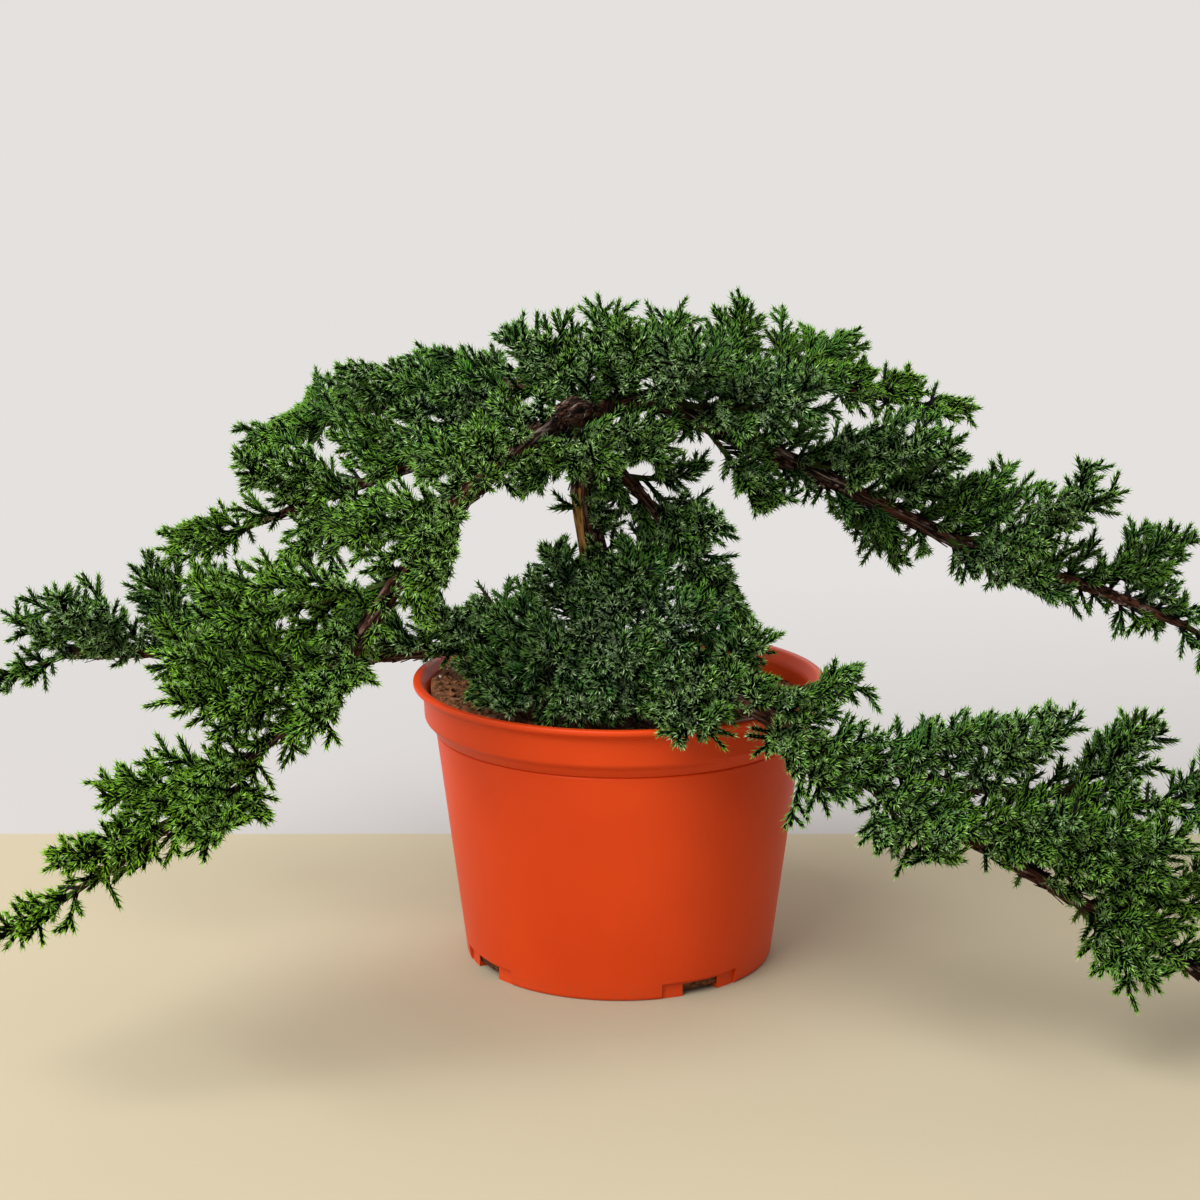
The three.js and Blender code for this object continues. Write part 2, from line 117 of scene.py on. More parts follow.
class Path:
    """A smooth line in space, measured by its length."""

    def __init__(self, spots: Sequence[Vector]) -> None:
        """Measures a line.

        Args:
            spots: Points close together along the line.
        """
        self.spots = list(spots)
        self.marks = [0.0]
        for start, end in zip(self.spots, self.spots[1:]):
            self.marks.append(self.marks[-1] + (end - start).length)

    @classmethod
    def through(cls, points: Sequence[Vector], detail: int = 16) -> "Path":
        """Rounds a line through a limb's points.

        Args:
            points: The points, from root to tip.
            detail: Spots for each stretch between two points.

        Returns:
            The line.
        """
        ends = [points[0] * 2 - points[1], *points, points[-1] * 2 - points[-2]]
        spots = [points[0].copy()]
        for before, start, end, after in zip(ends, ends[1:], ends[2:], ends[3:]):
            leaving = start + (end - before) / 6
            arriving = end - (after - start) / 6
            spots += interpolate_bezier(start, leaving, arriving, end, detail)[1:]
        return cls(spots)

    @classmethod
    def arch(cls, root: Vector, elbow: Vector, tip: Vector, detail: int = 10) -> "Path":
        """Bends a shoot from root to tip towards its elbow.

        Args:
            root: Where it starts.
            elbow: What it bends towards.
            tip: Where it ends.
            detail: Spots along it.

        Returns:
            The line.
        """
        leaving = root.lerp(elbow, 2 / 3)
        arriving = tip.lerp(elbow, 2 / 3)
        return cls(interpolate_bezier(root, leaving, arriving, tip, detail))

    @property
    def length(self) -> float:
        """The line's length."""
        return self.marks[-1]

    def at(self, share: float) -> Vector:
        """The point at a share of the length, from 0 to 1."""
        reach = share * self.length
        step = bisect_left(self.marks, reach, 1, len(self.marks) - 1)
        low, high = self.marks[step - 1], self.marks[step]
        return self.spots[step - 1].lerp(self.spots[step], (reach - low) / (high - low))

    def heading(self, share: float) -> Vector:
        """The direction at a share of the length."""
        near = 0.02
        return (self.at(min(share + near, 1)) - self.at(max(share - near, 0))).normalized()

    def frames(self, shares: Sequence[float]) -> Iterator[Matrix]:
        """Places along the line, each with Z along it and no twist from one to the next.

        Args:
            shares: Where the places are, from 0 to 1, in order.

        Yields:
            A matrix for each place.
        """
        side = self.heading(shares[0]).orthogonal().normalized()
        for share in shares:
            heading = self.heading(share)
            side = (side - heading * side.dot(heading)).normalized()
            turned = Matrix((side, heading.cross(side), heading)).transposed().to_4x4()
            yield Matrix.Translation(self.at(share)) @ turned


# Finishes

# The sockets of a Mix node for colours, by number because its others have the same names
FACTOR, FIRST, SECOND, MIXED = 0, 6, 7, 2


def add_node(tree: bpy.types.NodeTree, kind: str, links: dict | None = None,
             output: str | int = 0, stops: Sequence[tuple[float, str]] = (),
             **settings) -> bpy.types.NodeSocket:
    """Adds a shader node with its settings and what feeds it.

    Args:
        tree: The material's nodes.
        kind: The node's type, without the ShaderNode that each begins with.
        links: For each input by name or number, a socket to link or a constant.
        output: The name or number of the output that is wanted.
        stops: A colour ramp's stops, each a place and an sRGB hex colour.
        settings: Properties to set on the node.

    Returns:
        The wanted output's socket.
    """
    made = tree.nodes.new(f"ShaderNode{kind}")
    for name, value in settings.items():
        setattr(made, name, value)
    for name, value in (links or {}).items():
        if isinstance(value, bpy.types.NodeSocket):
            tree.links.new(value, made.inputs[name])
        else:
            made.inputs[name].default_value = value
    if stops:
        elements = made.color_ramp.elements
        for _ in stops[len(elements):]:
            elements.new(0.5)
        for element, (place, colour) in zip(elements, stops):
            element.position = place
            element.color = linear(colour)
    return made.outputs[output]


@dataclass(frozen=True)
class Finish:
    """A material named for the real one. A kind of finish adds its own pattern."""

    name: str
    roughness: float
    sheen: float = 0.5

    def pattern(self, tree: bpy.types.NodeTree) -> dict[str, bpy.types.NodeSocket]:
        """Adds the nodes of its pattern and tells which input of the shader each end feeds."""
        raise NotImplementedError

    def made(self) -> bpy.types.Material:
        """Makes the material, once.

        Returns:
            The material, the same one at each call.
        """
        known = bpy.data.materials.get(self.name)
        if known:
            return known
        material = bpy.data.materials.new(self.name)
        material.use_nodes = True
        tree = material.node_tree
        shader = tree.nodes["Principled BSDF"]
        shader.inputs["Roughness"].default_value = self.roughness
        shader.inputs["Specular IOR Level"].default_value = self.sheen
        for name, socket in self.pattern(tree).items():
            tree.links.new(socket, shader.inputs[name])
        return material


@dataclass(frozen=True)
class NeedleSkin(Finish):
    """Waxy living needles: deep green, with a pale waxy bloom on the side that faces the shoot,
    which is also a painted highlight, and a yellower green towards the youngest tips. The bloom is
    strongest on the outer twigs of a side shoot, whose tone is painted lighter, while twigs near
    its root get a darker tone as painted shade. Each needle darkens to near black towards its
    root, over a span of its length: painted shade for the crowd of needles round it."""

    # Near black: painted shade at each needle's root
    root: str = "010401"
    deep: str = "093014"
    leafy: str = "287b20"
    young: str = "86bc14"
    # Pale whitish green: partly the needles' real waxy bloom, partly a painted highlight
    bloom_and_highlight: str = "dff2cc"
    bloom_and_highlight_share: tuple[float, float] = (0.42, 0.58)
    tip_share: float = 0.2
    root_shade_span: float = 0.6
    patch: float = 14 * MM

    def pattern(self, tree: bpy.types.NodeTree) -> dict[str, bpy.types.NodeSocket]:
        """Mixes the greens by shoot, by age and by side, with a painted highlight in the bloom and
        painted shade along the needle.
        """
        inner, tip, tone, youth, spread = (
            add_node(tree, "Attribute", output="Fac", attribute_name=name)
            for name in (INNER, TIP, TONE_AND_SHADE, YOUTH, SPREAD))
        place = add_node(tree, "TexCoord", output="Object")
        cloud = add_node(tree, "TexNoise",
                         {"Vector": place, "Scale": 1 / self.patch, "Detail": 2.0})
        both = add_node(tree, "Math", {0: tone, 1: cloud}, operation="ADD")
        shade = add_node(tree, "Math", {0: both, 1: 0.5}, operation="MULTIPLY")
        green = add_node(tree, "ValToRGB", {"Fac": shade},
                         stops=[(0.25, self.deep), (0.75, self.leafy)])
        # The bloom and its painted highlight grow with the tone, which is painted lighter on outer
        # twigs
        least, more = self.bloom_and_highlight_share
        share = add_node(tree, "Math", {0: tone, 1: more, 2: least}, operation="MULTIPLY_ADD")
        pale = add_node(tree, "Math", {0: inner, 1: share}, operation="MULTIPLY")
        bloomed_and_lit = add_node(tree, "Mix", {FACTOR: pale, FIRST: green, SECOND: linear(self.bloom_and_highlight)},
                           MIXED, data_type="RGBA")
        newest = add_node(tree, "Math", {0: tip, 1: self.tip_share, 2: youth},
                          operation="MULTIPLY_ADD")
        aged = add_node(tree, "Mix", {FACTOR: newest, FIRST: bloomed_and_lit, SECOND: linear(self.young)},
                        MIXED, data_type="RGBA")
        # Painted shade: each needle goes to near black at its root and fades out over the root span
        depth = add_node(tree, "MapRange", {"Value": spread, "From Max": self.root_shade_span,
                                            "To Min": 1.0, "To Max": 0.0})
        return {"Base Color": add_node(
            tree, "Mix", {FACTOR: depth, FIRST: aged, SECOND: linear(self.root)}, MIXED,
            data_type="RGBA")}


@dataclass(frozen=True)
class ShootSkin(Finish):
    """Thin young bark of a main shoot: smooth, and green-brown in soft patches."""

    green: str = "2c3c14"
    brown: str = "2b1c10"
    patch: float = 5 * MM

    def pattern(self, tree: bpy.types.NodeTree) -> dict[str, bpy.types.NodeSocket]:
        """Clouds the brown with green."""
        place = add_node(tree, "TexCoord", output="Object")
        cloud = add_node(tree, "TexNoise", {"Vector": place, "Scale": 1 / self.patch})
        return {"Base Color": add_node(tree, "ValToRGB", {"Fac": cloud},
                                       stops=[(0.4, self.brown), (0.6, self.green)])}


@dataclass(frozen=True)
class StringyBark(Finish):
    """Juniper bark: long fibres that peel in strips, with the cracks between them painted near
    black as shade, red-brown fresh strips, grey weathered ones that are lightest on the raised
    fibres as a painted highlight, and tan wood where the bark has come off."""

    # Near black in the low gaps between fibres: painted shade
    crack_shade: str = "080504"
    fibre: str = "2a1b15"
    fresh: str = "523122"
    # Grey weathering, partly real and partly a painted highlight, as it falls on the highest fibres
    weathered_and_highlight: str = "94857a"
    peeled: tuple[str, str] = ("4f3216", "a0763f")
    strand: float = 1.1 * MM
    patch: float = 5 * MM
    relief: float = 0.6 * MM

    def pattern(self, tree: bpy.types.NodeTree) -> dict[str, bpy.types.NodeSocket]:
        """Draws fibres along the wood, by the wood's own grain coordinates."""
        grain = add_node(tree, "Attribute", output="Vector", attribute_name=GRAIN)
        peel = add_node(tree, "Attribute", output="Fac", attribute_name=PEEL)
        strands = add_node(tree, "TexNoise", {"Vector": grain, "Scale": 1 / self.strand,
                                              "Detail": 6.0, "Roughness": 0.62})
        patches = add_node(tree, "TexNoise",
                           {"Vector": grain, "Scale": 1 / self.patch, "Detail": 3.0})
        # Both ramps follow the same noise as the bump: painted shade where the fibres sink, and in
        # the grey one a painted highlight where they rise
        greyish = add_node(tree, "ValToRGB", {"Fac": strands}, stops=[
            (0.4, self.crack_shade), (0.52, self.fibre), (0.66, self.weathered_and_highlight)])
        reddish = add_node(tree, "ValToRGB", {"Fac": strands}, stops=[
            (0.4, self.crack_shade), (0.56, self.fresh), (0.8, self.fibre)])
        share = add_node(tree, "MapRange", {"Value": patches, "From Min": 0.42, "From Max": 0.58})
        bark = add_node(tree, "Mix", {FACTOR: share, FIRST: greyish, SECOND: reddish}, MIXED,
                        data_type="RGBA")
        worn = add_node(tree, "Math", {0: peel, 1: strands}, operation="ADD")
        bare = add_node(tree, "MapRange", {"Value": worn, "From Min": 0.95, "From Max": 1.05})
        dark, pale = self.peeled
        tan = add_node(tree, "ValToRGB", {"Fac": strands}, stops=[(0.4, dark), (0.6, pale)])
        return {
            "Base Color": add_node(tree, "Mix", {FACTOR: bare, FIRST: bark, SECOND: tan}, MIXED,
                                   data_type="RGBA"),
            "Normal": add_node(tree, "Bump", {"Height": strands, "Distance": self.relief,
                                              "Strength": 1.0}),
        }


@dataclass(frozen=True)
class Crumb(Finish):
    """Matter that lies loose in the pot: peat, bark bits or perlite, mottled at its own grain."""

    dark: str = "26140b"
    light: str = "94603c"
    grain: float = 1.6 * MM
    relief: float = 0.6 * MM

    def pattern(self, tree: bpy.types.NodeTree) -> dict[str, bpy.types.NodeSocket]:
        """Mottles the two colours and roughens the surface."""
        place = add_node(tree, "TexCoord", output="Object")
        cloud = add_node(tree, "TexNoise", {"Vector": place, "Scale": 1 / self.grain,
                                            "Detail": 5.0, "Roughness": 0.65})
        return {
            "Base Color": add_node(tree, "ValToRGB", {"Fac": cloud},
                                   stops=[(0.36, self.dark), (0.68, self.light)]),
            "Normal": add_node(tree, "Bump", {"Height": cloud, "Distance": self.relief,
                                              "Strength": 0.8}),
        }


@dataclass(frozen=True)
class MouldedPlastic(Finish):
    """Injection-moulded polypropylene: even, satin, with a slight unevenness where it cooled,
    a fine pebble from the mould, and a little dust in specks near its foot."""

    body: str = "d2410f"
    shade: str = "c83b0c"
    flow: float = 60 * MM
    dust: str = "a0522f"
    dust_height: float = 12 * MM
    dust_share: float = 0.55
    speck: float = 1.5 * MM
    pebble: float = 0.35 * MM
    relief: float = 0.03 * MM

    def pattern(self, tree: bpy.types.NodeTree) -> dict[str, bpy.types.NodeSocket]:
        """Clouds the colour lightly, dusts the foot and gives the surface its pebble."""
        place = add_node(tree, "TexCoord", output="Object")
        flow, specks, pebbles = (
            add_node(tree, "TexNoise", {"Vector": place, "Scale": 1 / size, "Detail": detail})
            for size, detail in ((self.flow, 3.0), (self.speck, 4.0), (self.pebble, 1.0)))
        colour = add_node(tree, "ValToRGB", {"Fac": flow},
                          stops=[(0.35, self.shade), (0.65, self.body)])
        height = add_node(tree, "SeparateXYZ", {0: place}, "Z")
        low = add_node(tree, "MapRange", {"Value": height, "From Min": self.dust_height,
                                          "From Max": 0.0, "To Max": self.dust_share})
        dusty = add_node(tree, "MapRange", {"Value": specks, "From Min": 0.45, "From Max": 0.75})
        share = add_node(tree, "Math", {0: low, 1: dusty}, operation="MULTIPLY")
        return {
            "Base Color": add_node(tree, "Mix", {FACTOR: share, FIRST: colour,
                                                 SECOND: linear(self.dust)}, MIXED,
                                   data_type="RGBA"),
            "Normal": add_node(tree, "Bump", {"Height": pebbles, "Distance": self.relief,
                                              "Strength": 0.35}),
        }


@dataclass(frozen=True)
class Paper(Finish):
    """The studio's smooth paper: one tone where the pot stands and a paler one behind the fold,
    which fades into the even light of the room between two distances."""

    near: str = "a79c83"
    far: str = "a8a5a3"
    room: str = "e4e1df"
    fold: float = 0.145
    fade: tuple[float, float] = (0.7, 2.4)

    def pattern(self, tree: bpy.types.NodeTree) -> dict[str, bpy.types.NodeSocket]:
        """Changes tone at the fold behind the pot, and glows like the room far away."""
        place = add_node(tree, "TexCoord", output="Object")
        depth = add_node(tree, "SeparateXYZ", {0: place}, "Y")
        reach = add_node(tree, "VectorMath", {0: place}, "Value", operation="LENGTH")
        start, end = self.fade
        back, rising, distant = (
            add_node(tree, "MapRange", {"Value": value, "From Min": low, "From Max": high})
            for value, low, high in ((depth, self.fold, self.fold + 2 * MM),
                                     (depth, self.fold, start), (reach, start, end)))
        share = add_node(tree, "Math", {0: rising, 1: distant}, operation="MAXIMUM")
        glow = add_node(tree, "Emission", {"Color": linear(self.room)})
        lit = tree.nodes["Principled BSDF"].outputs[0]
        mixed = add_node(tree, "MixShader", {0: share, 1: lit, 2: glow})
        tree.links.new(mixed, tree.nodes["Material Output"].inputs["Surface"])
        return {"Base Color": add_node(tree, "Mix", {FACTOR: back, FIRST: linear(self.near),
                                                     SECOND: linear(self.far)}, MIXED,
                                       data_type="RGBA")}


# Living juniper needles: waxy, but so fine and crowded that the whole mass hardly glints; their
# highlights are painted into the bloom instead
NEEDLES = NeedleSkin("living juniper needles", 0.5, 0.06)
# Young bark of main shoots: thin and dull, brown with green that shows through in patches
YOUNG_BARK = ShootSkin("thin young bark", 0.8, 0.06)
# Old juniper bark: dry fibres with gaps painted near black as shade, red-brown where fresh and grey
# where weathered, lightest on raised fibres as a painted highlight
BARK = StringyBark("stringy juniper bark", 0.9, 0.08)
# Damp peat: dull dark brown with paler crumbs, and only a faint wet glint
PEAT = Crumb("damp peat", 0.95, 0.2)
# Composted bark: dry woody bits, a little paler than the peat that they lie on
CHIPS = Crumb("composted bark bits", 0.85, dark="4a2f1c", light="9a7350", grain=2.5 * MM)
# Expanded perlite: chalky grains, the palest thing in the pot
PERLITE = Crumb("expanded perlite", 0.9, dark="b9b1a3", light="ece8e0", grain=0.8 * MM)
# Moulded polypropylene: one even orange-red with a soft, broad sheen and a little dust
PLASTIC = MouldedPlastic("moulded polypropylene", 0.42, 0.18)
# Studio paper: smooth and pale, with no gloss, so that only shadows show on it
PAPER = Paper("studio paper", 0.9)


def dressed(name: str, bm: bmesh.types.BMesh, finishes: Sequence[Finish],
            replaced: Sequence[str] = (), smooth: bool = False) -> bpy.types.Object:
    """Turns finished mesh data into a piece of the object.

    Args:
        name: The piece's name.
        bm: Its mesh, in place; it is freed.
        finishes: Its materials, in the order of its faces' material numbers.
        replaced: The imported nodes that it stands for.
        smooth: Whether its faces are shaded as one surface.

    Returns:
        The piece.
    """
    if smooth:
        for face in bm.faces:
            face.smooth = True
    mesh = bpy.data.meshes.new(name)
    bm.to_mesh(mesh)
    bm.free()
    for finish in finishes:
        mesh.materials.append(finish.made())
    piece = bpy.data.objects.new(name, mesh)
    bpy.context.scene.collection.objects.link(piece)
    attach(piece, BODY)
    if replaced:
        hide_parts(*replaced)
    log.info("%s: %d faces", name, len(mesh.polygons))
    return piece


def outlined(corners: Sequence[tuple[float, float]]) -> bmesh.types.BMesh:
    """Draws half of a round shape's section as a row of edges.

    Args:
        corners: Each corner's radius and height, in order.

    Returns:
        The row's mesh, in the plane of X and Z.
    """
    bm = bmesh.new()
    row = [bm.verts.new((radius, 0, height)) for radius, height in corners]
    for start, end in zip(row, row[1:]):
        bm.edges.new((start, end))
    return bm


def spun(bm: bmesh.types.BMesh, steps: int) -> None:
    """Spins a section about Z into a closed shape, in a number of steps."""
    bmesh.ops.spin(bm, geom=bm.verts[:] + bm.edges[:], axis=UP, cent=(0, 0, 0),
                   angle=math.tau, steps=steps, use_merge=True)
    bmesh.ops.remove_doubles(bm, verts=bm.verts[:], dist=0.01 * MM)


# Pot


@dataclass
class Pot:
    """A round tapered pot with a flat lip, a deep collar and drain slots at its foot.

    Each slot is cut through a shallow recess that is wider than the slot, by a cutter that stands
    out of the wall with a little room. Turns and the angle that keeps an edge sharp are in degrees.
    """

    wall: float = 1.7 * MM
    lip_drop: float = 2.0 * MM
    lip_width: float = 3.2 * MM
    flare_drop: float = 4.2 * MM
    collar_radius: float = 78 * MM
    collar_drop: float = 15.5 * MM
    neck_radius: float = 73.6 * MM
    neck_drop: float = 20.5 * MM
    crease: float = 0.9 * MM
    base_radius: float = 62 * MM
    steps: int = 144
    round_steps: int = 4
    slots: int = 4
    first_turn: float = 31.0
    slot_size: tuple[float, float] = (16 * MM, 5 * MM)
    slot_reach: float = 13 * MM
    recess_size: tuple[float, float] = (34 * MM, 6.5 * MM)
    recess_depth: float = 1.0 * MM
    recess_steps: int = 14
    cut_room: float = 1.0 * MM
    sharp_edge: float = 32.0
    high: Vector = field(default_factory=lambda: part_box("pot")[1])

    @property
    def height(self) -> float:
        """From the underside to the rim."""
        return self.high.z

    @property
    def lip_radius(self) -> float:
        """Of the lip's edge."""
        return self.high.x

    def inner_radius(self, height: float) -> float:
        """The inside's radius at a height, up to the collar."""
        neck = self.height - self.neck_drop
        share = min(max((height - self.wall) / (neck - self.wall), 0), 1)
        return self.base_radius + (self.neck_radius - self.base_radius) * share - self.wall

    def outline(self) -> list[tuple[float, float, float]]:
        """The wall's section, from the underside's middle round to the floor's middle.

        Returns:
            Each corner's radius, height and rounding.
        """
        neck = self.height - self.neck_drop
        step = self.height - self.collar_drop
        flare = self.height - self.flare_drop
        inside = self.collar_radius - self.wall
        return [
            (0, 0, 0),
            (self.base_radius - 0.6 * MM, 0, 0.5 * MM),
            (self.base_radius, 1.2 * MM, 0.4 * MM),
            (self.neck_radius - 0.1 * MM, neck - 0.7 * MM, 0.25 * MM),
            (self.neck_radius - self.crease, neck, 0.2 * MM),
            (self.neck_radius + 0.3 * MM, neck + 0.3 * MM, 0.25 * MM),
            (self.collar_radius - 2.2 * MM, step - 1.6 * MM, 0.8 * MM),
            (self.collar_radius, step + 0.4 * MM, 1.1 * MM),
            (self.collar_radius + 0.5 * MM, flare - 0.4 * MM, 1.6 * MM),
            (self.lip_radius, self.height - self.lip_drop, 0.7 * MM),
            (self.lip_radius, self.height, 0.8 * MM),
            (self.lip_radius - self.lip_width, self.height, 0.9 * MM),
            (inside, flare, 1.6 * MM),
            (inside - 0.6 * MM, step, 1.0 * MM),
            (self.neck_radius - self.wall, neck, 1.2 * MM),
            (self.base_radius - self.wall, self.wall, 0.8 * MM),
            (0, self.wall, 0),
        ]

    def shell(self) -> bmesh.types.BMesh:
        """Spins the rounded section into a closed wall.

        Returns:
            The wall's mesh.
        """
        rows = self.outline()
        bm = outlined([row[:2] for row in rows])
        for corner, (_, _, rounding) in zip(bm.verts[:], rows):
            if rounding:
                bmesh.ops.bevel(bm, geom=[corner], offset=rounding, offset_type="OFFSET",
                                segments=self.round_steps, profile=0.5, affect="VERTICES",
                                material=-1)
        spun(bm, self.steps)
        bmesh.ops.recalc_face_normals(bm, faces=bm.faces[:])
        return bm

    def cutter(self, turn: float) -> bpy.types.Object:
        """The space of one drain slot, which notches the floor too, and of its shallow recess.

        Args:
            turn: Degrees from the front, towards +X.

        Returns:
            An object to cut with.
        """
        bm = bmesh.new()
        front = self.base_radius + 2 * self.cut_room
        width, height = self.slot_size
        reach = self.slot_reach + 2 * self.cut_room
        size = Matrix.Diagonal((width, reach, height + self.cut_room, 1))
        spot = Matrix.Translation((0, reach / 2 - front, (height - self.cut_room) / 2))
        bmesh.ops.create_cube(bm, size=1, matrix=spot @ size)
        width, height = self.recess_size
        half = math.asin(width / 2 / self.base_radius)
        reach = self.recess_depth + 2 * self.cut_room
        size = Matrix.Diagonal((1, reach, height + self.cut_room, 1))
        spot = Matrix.Translation((0, -front + size[1][1] / 2, (height - self.cut_room) / 2))
        stand = Matrix.Rotation(math.pi / 2, 4, "Y")
        made = bmesh.ops.create_grid(bm, x_segments=1, y_segments=1, size=0.5,
                                     matrix=spot @ size @ stand)["verts"]
        bmesh.ops.rotate(bm, verts=made, cent=(0, 0, 0), matrix=Matrix.Rotation(-half, 3, "Z"))
        section = list({face for vert in made for face in vert.link_faces})
        bmesh.ops.spin(bm, geom=section, axis=UP, cent=(0, 0, 0), angle=2 * half,
                       steps=self.recess_steps)
        bmesh.ops.recalc_face_normals(bm, faces=bm.faces[:])
        bmesh.ops.rotate(bm, verts=bm.verts[:], cent=(0, 0, 0),
                         matrix=Matrix.Rotation(math.radians(turn), 3, "Z"))
        mesh = bpy.data.meshes.new("slot cutter")
        bm.to_mesh(mesh)
        bm.free()
        tool = bpy.data.objects.new("slot cutter", mesh)
        bpy.context.scene.collection.objects.link(tool)
        return tool

    def build(self) -> bpy.types.Object:
        """Makes the pot and cuts its slots.

        Returns:
            The piece.
        """
        piece = dressed("nursery_pot", self.shell(), [PLASTIC], ["pot"])
        for slot in range(self.slots):
            tool = self.cutter(self.first_turn + 360 * slot / self.slots)
            cut = piece.modifiers.new("slot", "BOOLEAN")
            cut.operation = "DIFFERENCE"
            cut.solver = "EXACT"
            cut.use_self = True
            cut.object = tool
            bpy.context.view_layer.update()
            seen = piece.evaluated_get(bpy.context.evaluated_depsgraph_get())
            plain = piece.data
            piece.data = bpy.data.meshes.new_from_object(seen)
            piece.modifiers.clear()
            bpy.data.meshes.remove(plain)
            bpy.data.objects.remove(tool)
        piece.data.name = piece.name
        self.smooth(piece.data)
        return piece

    def smooth(self, mesh: bpy.types.Mesh) -> None:
        """Shades the wall as one surface, with the slots' edges kept sharp."""
        bm = bmesh.new()
        bm.from_mesh(mesh)
        for face in bm.faces:
            face.smooth = True
        sharp = math.radians(self.sharp_edge)
        for edge in bm.edges:
            edge.smooth = edge.is_manifold and edge.calc_face_angle(0) < sharp
        bm.to_mesh(mesh)
        bm.free()


# Soil


@dataclass
class Soil:
    """Damp peat that fills the pot, with crumbs, bark bits and white perlite on it.

    Its top is tilted, has wide bumps, and is banked up towards the pot's left from a share of its
    radius on. Lumps and crumbs of its surface are a width and a height. What lies on it is a
    number and its least and greatest radius, or for a bark bit the least and greatest length,
    width and thickness in millimetres.
    """

    pot: Pot
    level: float = 106 * MM
    tilt: float = 0.03
    bump: float = 1.3 * MM
    bank: float = 7 * MM
    bank_start: float = 0.3
    lump: tuple[float, float] = (7 * MM, 1.3 * MM)
    crumb: tuple[float, float] = (2.4 * MM, 0.8 * MM)
    gap: float = 0.3 * MM
    rim_gap: float = 0.9 * MM
    steps: int = 120
    rings: int = 34
    crumbs: int = 1500
    crumb_size: tuple[float, float] = (0.5 * MM, 1.9 * MM)
    grains: int = 46
    grain_size: tuple[float, float] = (0.5 * MM, 1.3 * MM)
    chips: int = 150
    chip_size: tuple[tuple[float, float], ...] = ((2, 8), (0.8, 2.4), (0.4, 1.0))
    hole: tuple[float, float, float] = (-4 * MM, 2 * MM, 7.6 * MM)

    def top(self, x: float, y: float) -> float:
        """The surface's height over a point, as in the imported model."""
        rise = self.tilt * -(x + y) / math.sqrt(2)
        x, y = x / MM, y / MM
        swell = math.sin(x * 0.11 + 1) * math.cos(y * 0.09 - 0.6)
        ripple = math.sin(x * 0.31 - y * 0.23)
        return self.level + rise + self.bump * (0.7 * swell + 0.3 * ripple)

    def reach(self) -> float:
        """The filling's radius inside the pot's collar."""
        return self.pot.collar_radius - self.pot.wall - self.rim_gap

    def fine_top(self, x: float, y: float) -> float:
        """The surface's height with its lumps and crumbs."""
        spot = Vector((x, y, 0))
        banked = max(0.0, -x / self.reach() - self.bank_start) * self.bank
        rough = [noise.noise(spot / width) * height for width, height in (self.lump, self.crumb)]
        return self.top(x, y) + sum(rough) + banked

    def heap(self) -> bmesh.types.BMesh:
        """Spins the filling and lifts its top to the soil's surface.

        Returns:
            The filling's mesh.
        """
        bottom = self.pot.wall + self.gap
        neck = self.pot.height - self.pot.neck_drop
        step = self.pot.height - self.pot.collar_drop
        rim = self.reach()
        side = [(0, bottom), (self.pot.inner_radius(bottom) - 2 * self.gap, bottom),
                (self.pot.inner_radius(neck) - self.gap, neck), (rim, step),
                (rim, self.level - 2 * MM)]
        top = [(rim * (1 - i / self.rings), self.level) for i in range(self.rings + 1)]
        bm = outlined(side + top)
        spun(bm, self.steps)
        for vert in bm.verts:
            if vert.co.z > self.level - 1 * MM:
                vert.co.z = self.fine_top(vert.co.x, vert.co.y)
        bmesh.ops.recalc_face_normals(bm, faces=bm.faces[:])
        return bm

    def strewn(self, count: int, seed: int, sink: float) -> Iterator[tuple[Matrix, random.Random]]:
        """Places spread over the surface at random, none of them in the trunk.

        Args:
            count: How many.
            seed: Of the random draws.
            sink: How far below the surface.

        Yields:
            A place turned at random, and the draws for what lies there.
        """
        draws = random.Random(seed)
        reach = self.reach() - 1.2 * MM
        x, y, room = self.hole
        for _ in range(count):
            out = reach * math.sqrt(draws.random())
            turn = draws.uniform(0, math.tau)
            spot = Vector((out * math.cos(turn), out * math.sin(turn), 0))
            if (spot.xy - Vector((x, y))).length < room:
                continue
            spot.z = self.fine_top(spot.x, spot.y) - sink
            tilt = Matrix.Rotation(draws.uniform(-0.5, 0.5), 4, "X")
            yield Matrix.Translation(spot) @ Matrix.Rotation(turn * 7, 4, "Z") @ tilt, draws

    def lumps(self, count: int, seed: int, sizes: tuple[float, float], flat: float,
              detail: int) -> bmesh.types.BMesh:
        """Makes rounded uneven grains.

        Args:
            count: How many.
            seed: Of the random draws.
            sizes: The smallest and the largest radius.
            flat: Their height as a share of their width.
            detail: Subdivisions of each.

        Returns:
            Their mesh.
        """
        bm = bmesh.new()
        for place, draws in self.strewn(count, seed, 0.1 * MM):
            radius = draws.uniform(*sizes)
            shape = Matrix.Diagonal((draws.uniform(0.7, 1.3), draws.uniform(0.7, 1.1), flat, 1))
            made = bmesh.ops.create_icosphere(bm, subdivisions=detail, radius=radius,
                                              matrix=place @ shape)
            for vert in made["verts"]:
                vert.co += (vert.co - place.translation) * 0.5 * noise.noise(vert.co / radius * 1.3)
        return bm

    def flakes(self) -> bmesh.types.BMesh:
        """Makes splinters of bark that lie on the peat.

        Returns:
            Their mesh.
        """
        bm = bmesh.new()
        for place, draws in self.strewn(self.chips, 23, -0.2 * MM):
            size = [draws.uniform(*span) * MM for span in self.chip_size]
            made = bmesh.ops.create_cube(bm, size=1, matrix=place @ Matrix.Diagonal((*size, 1)))
            for vert in made["verts"]:
                vert.co += noise.noise_vector(vert.co / (3 * MM)) * 0.35 * size[1]
        return bm

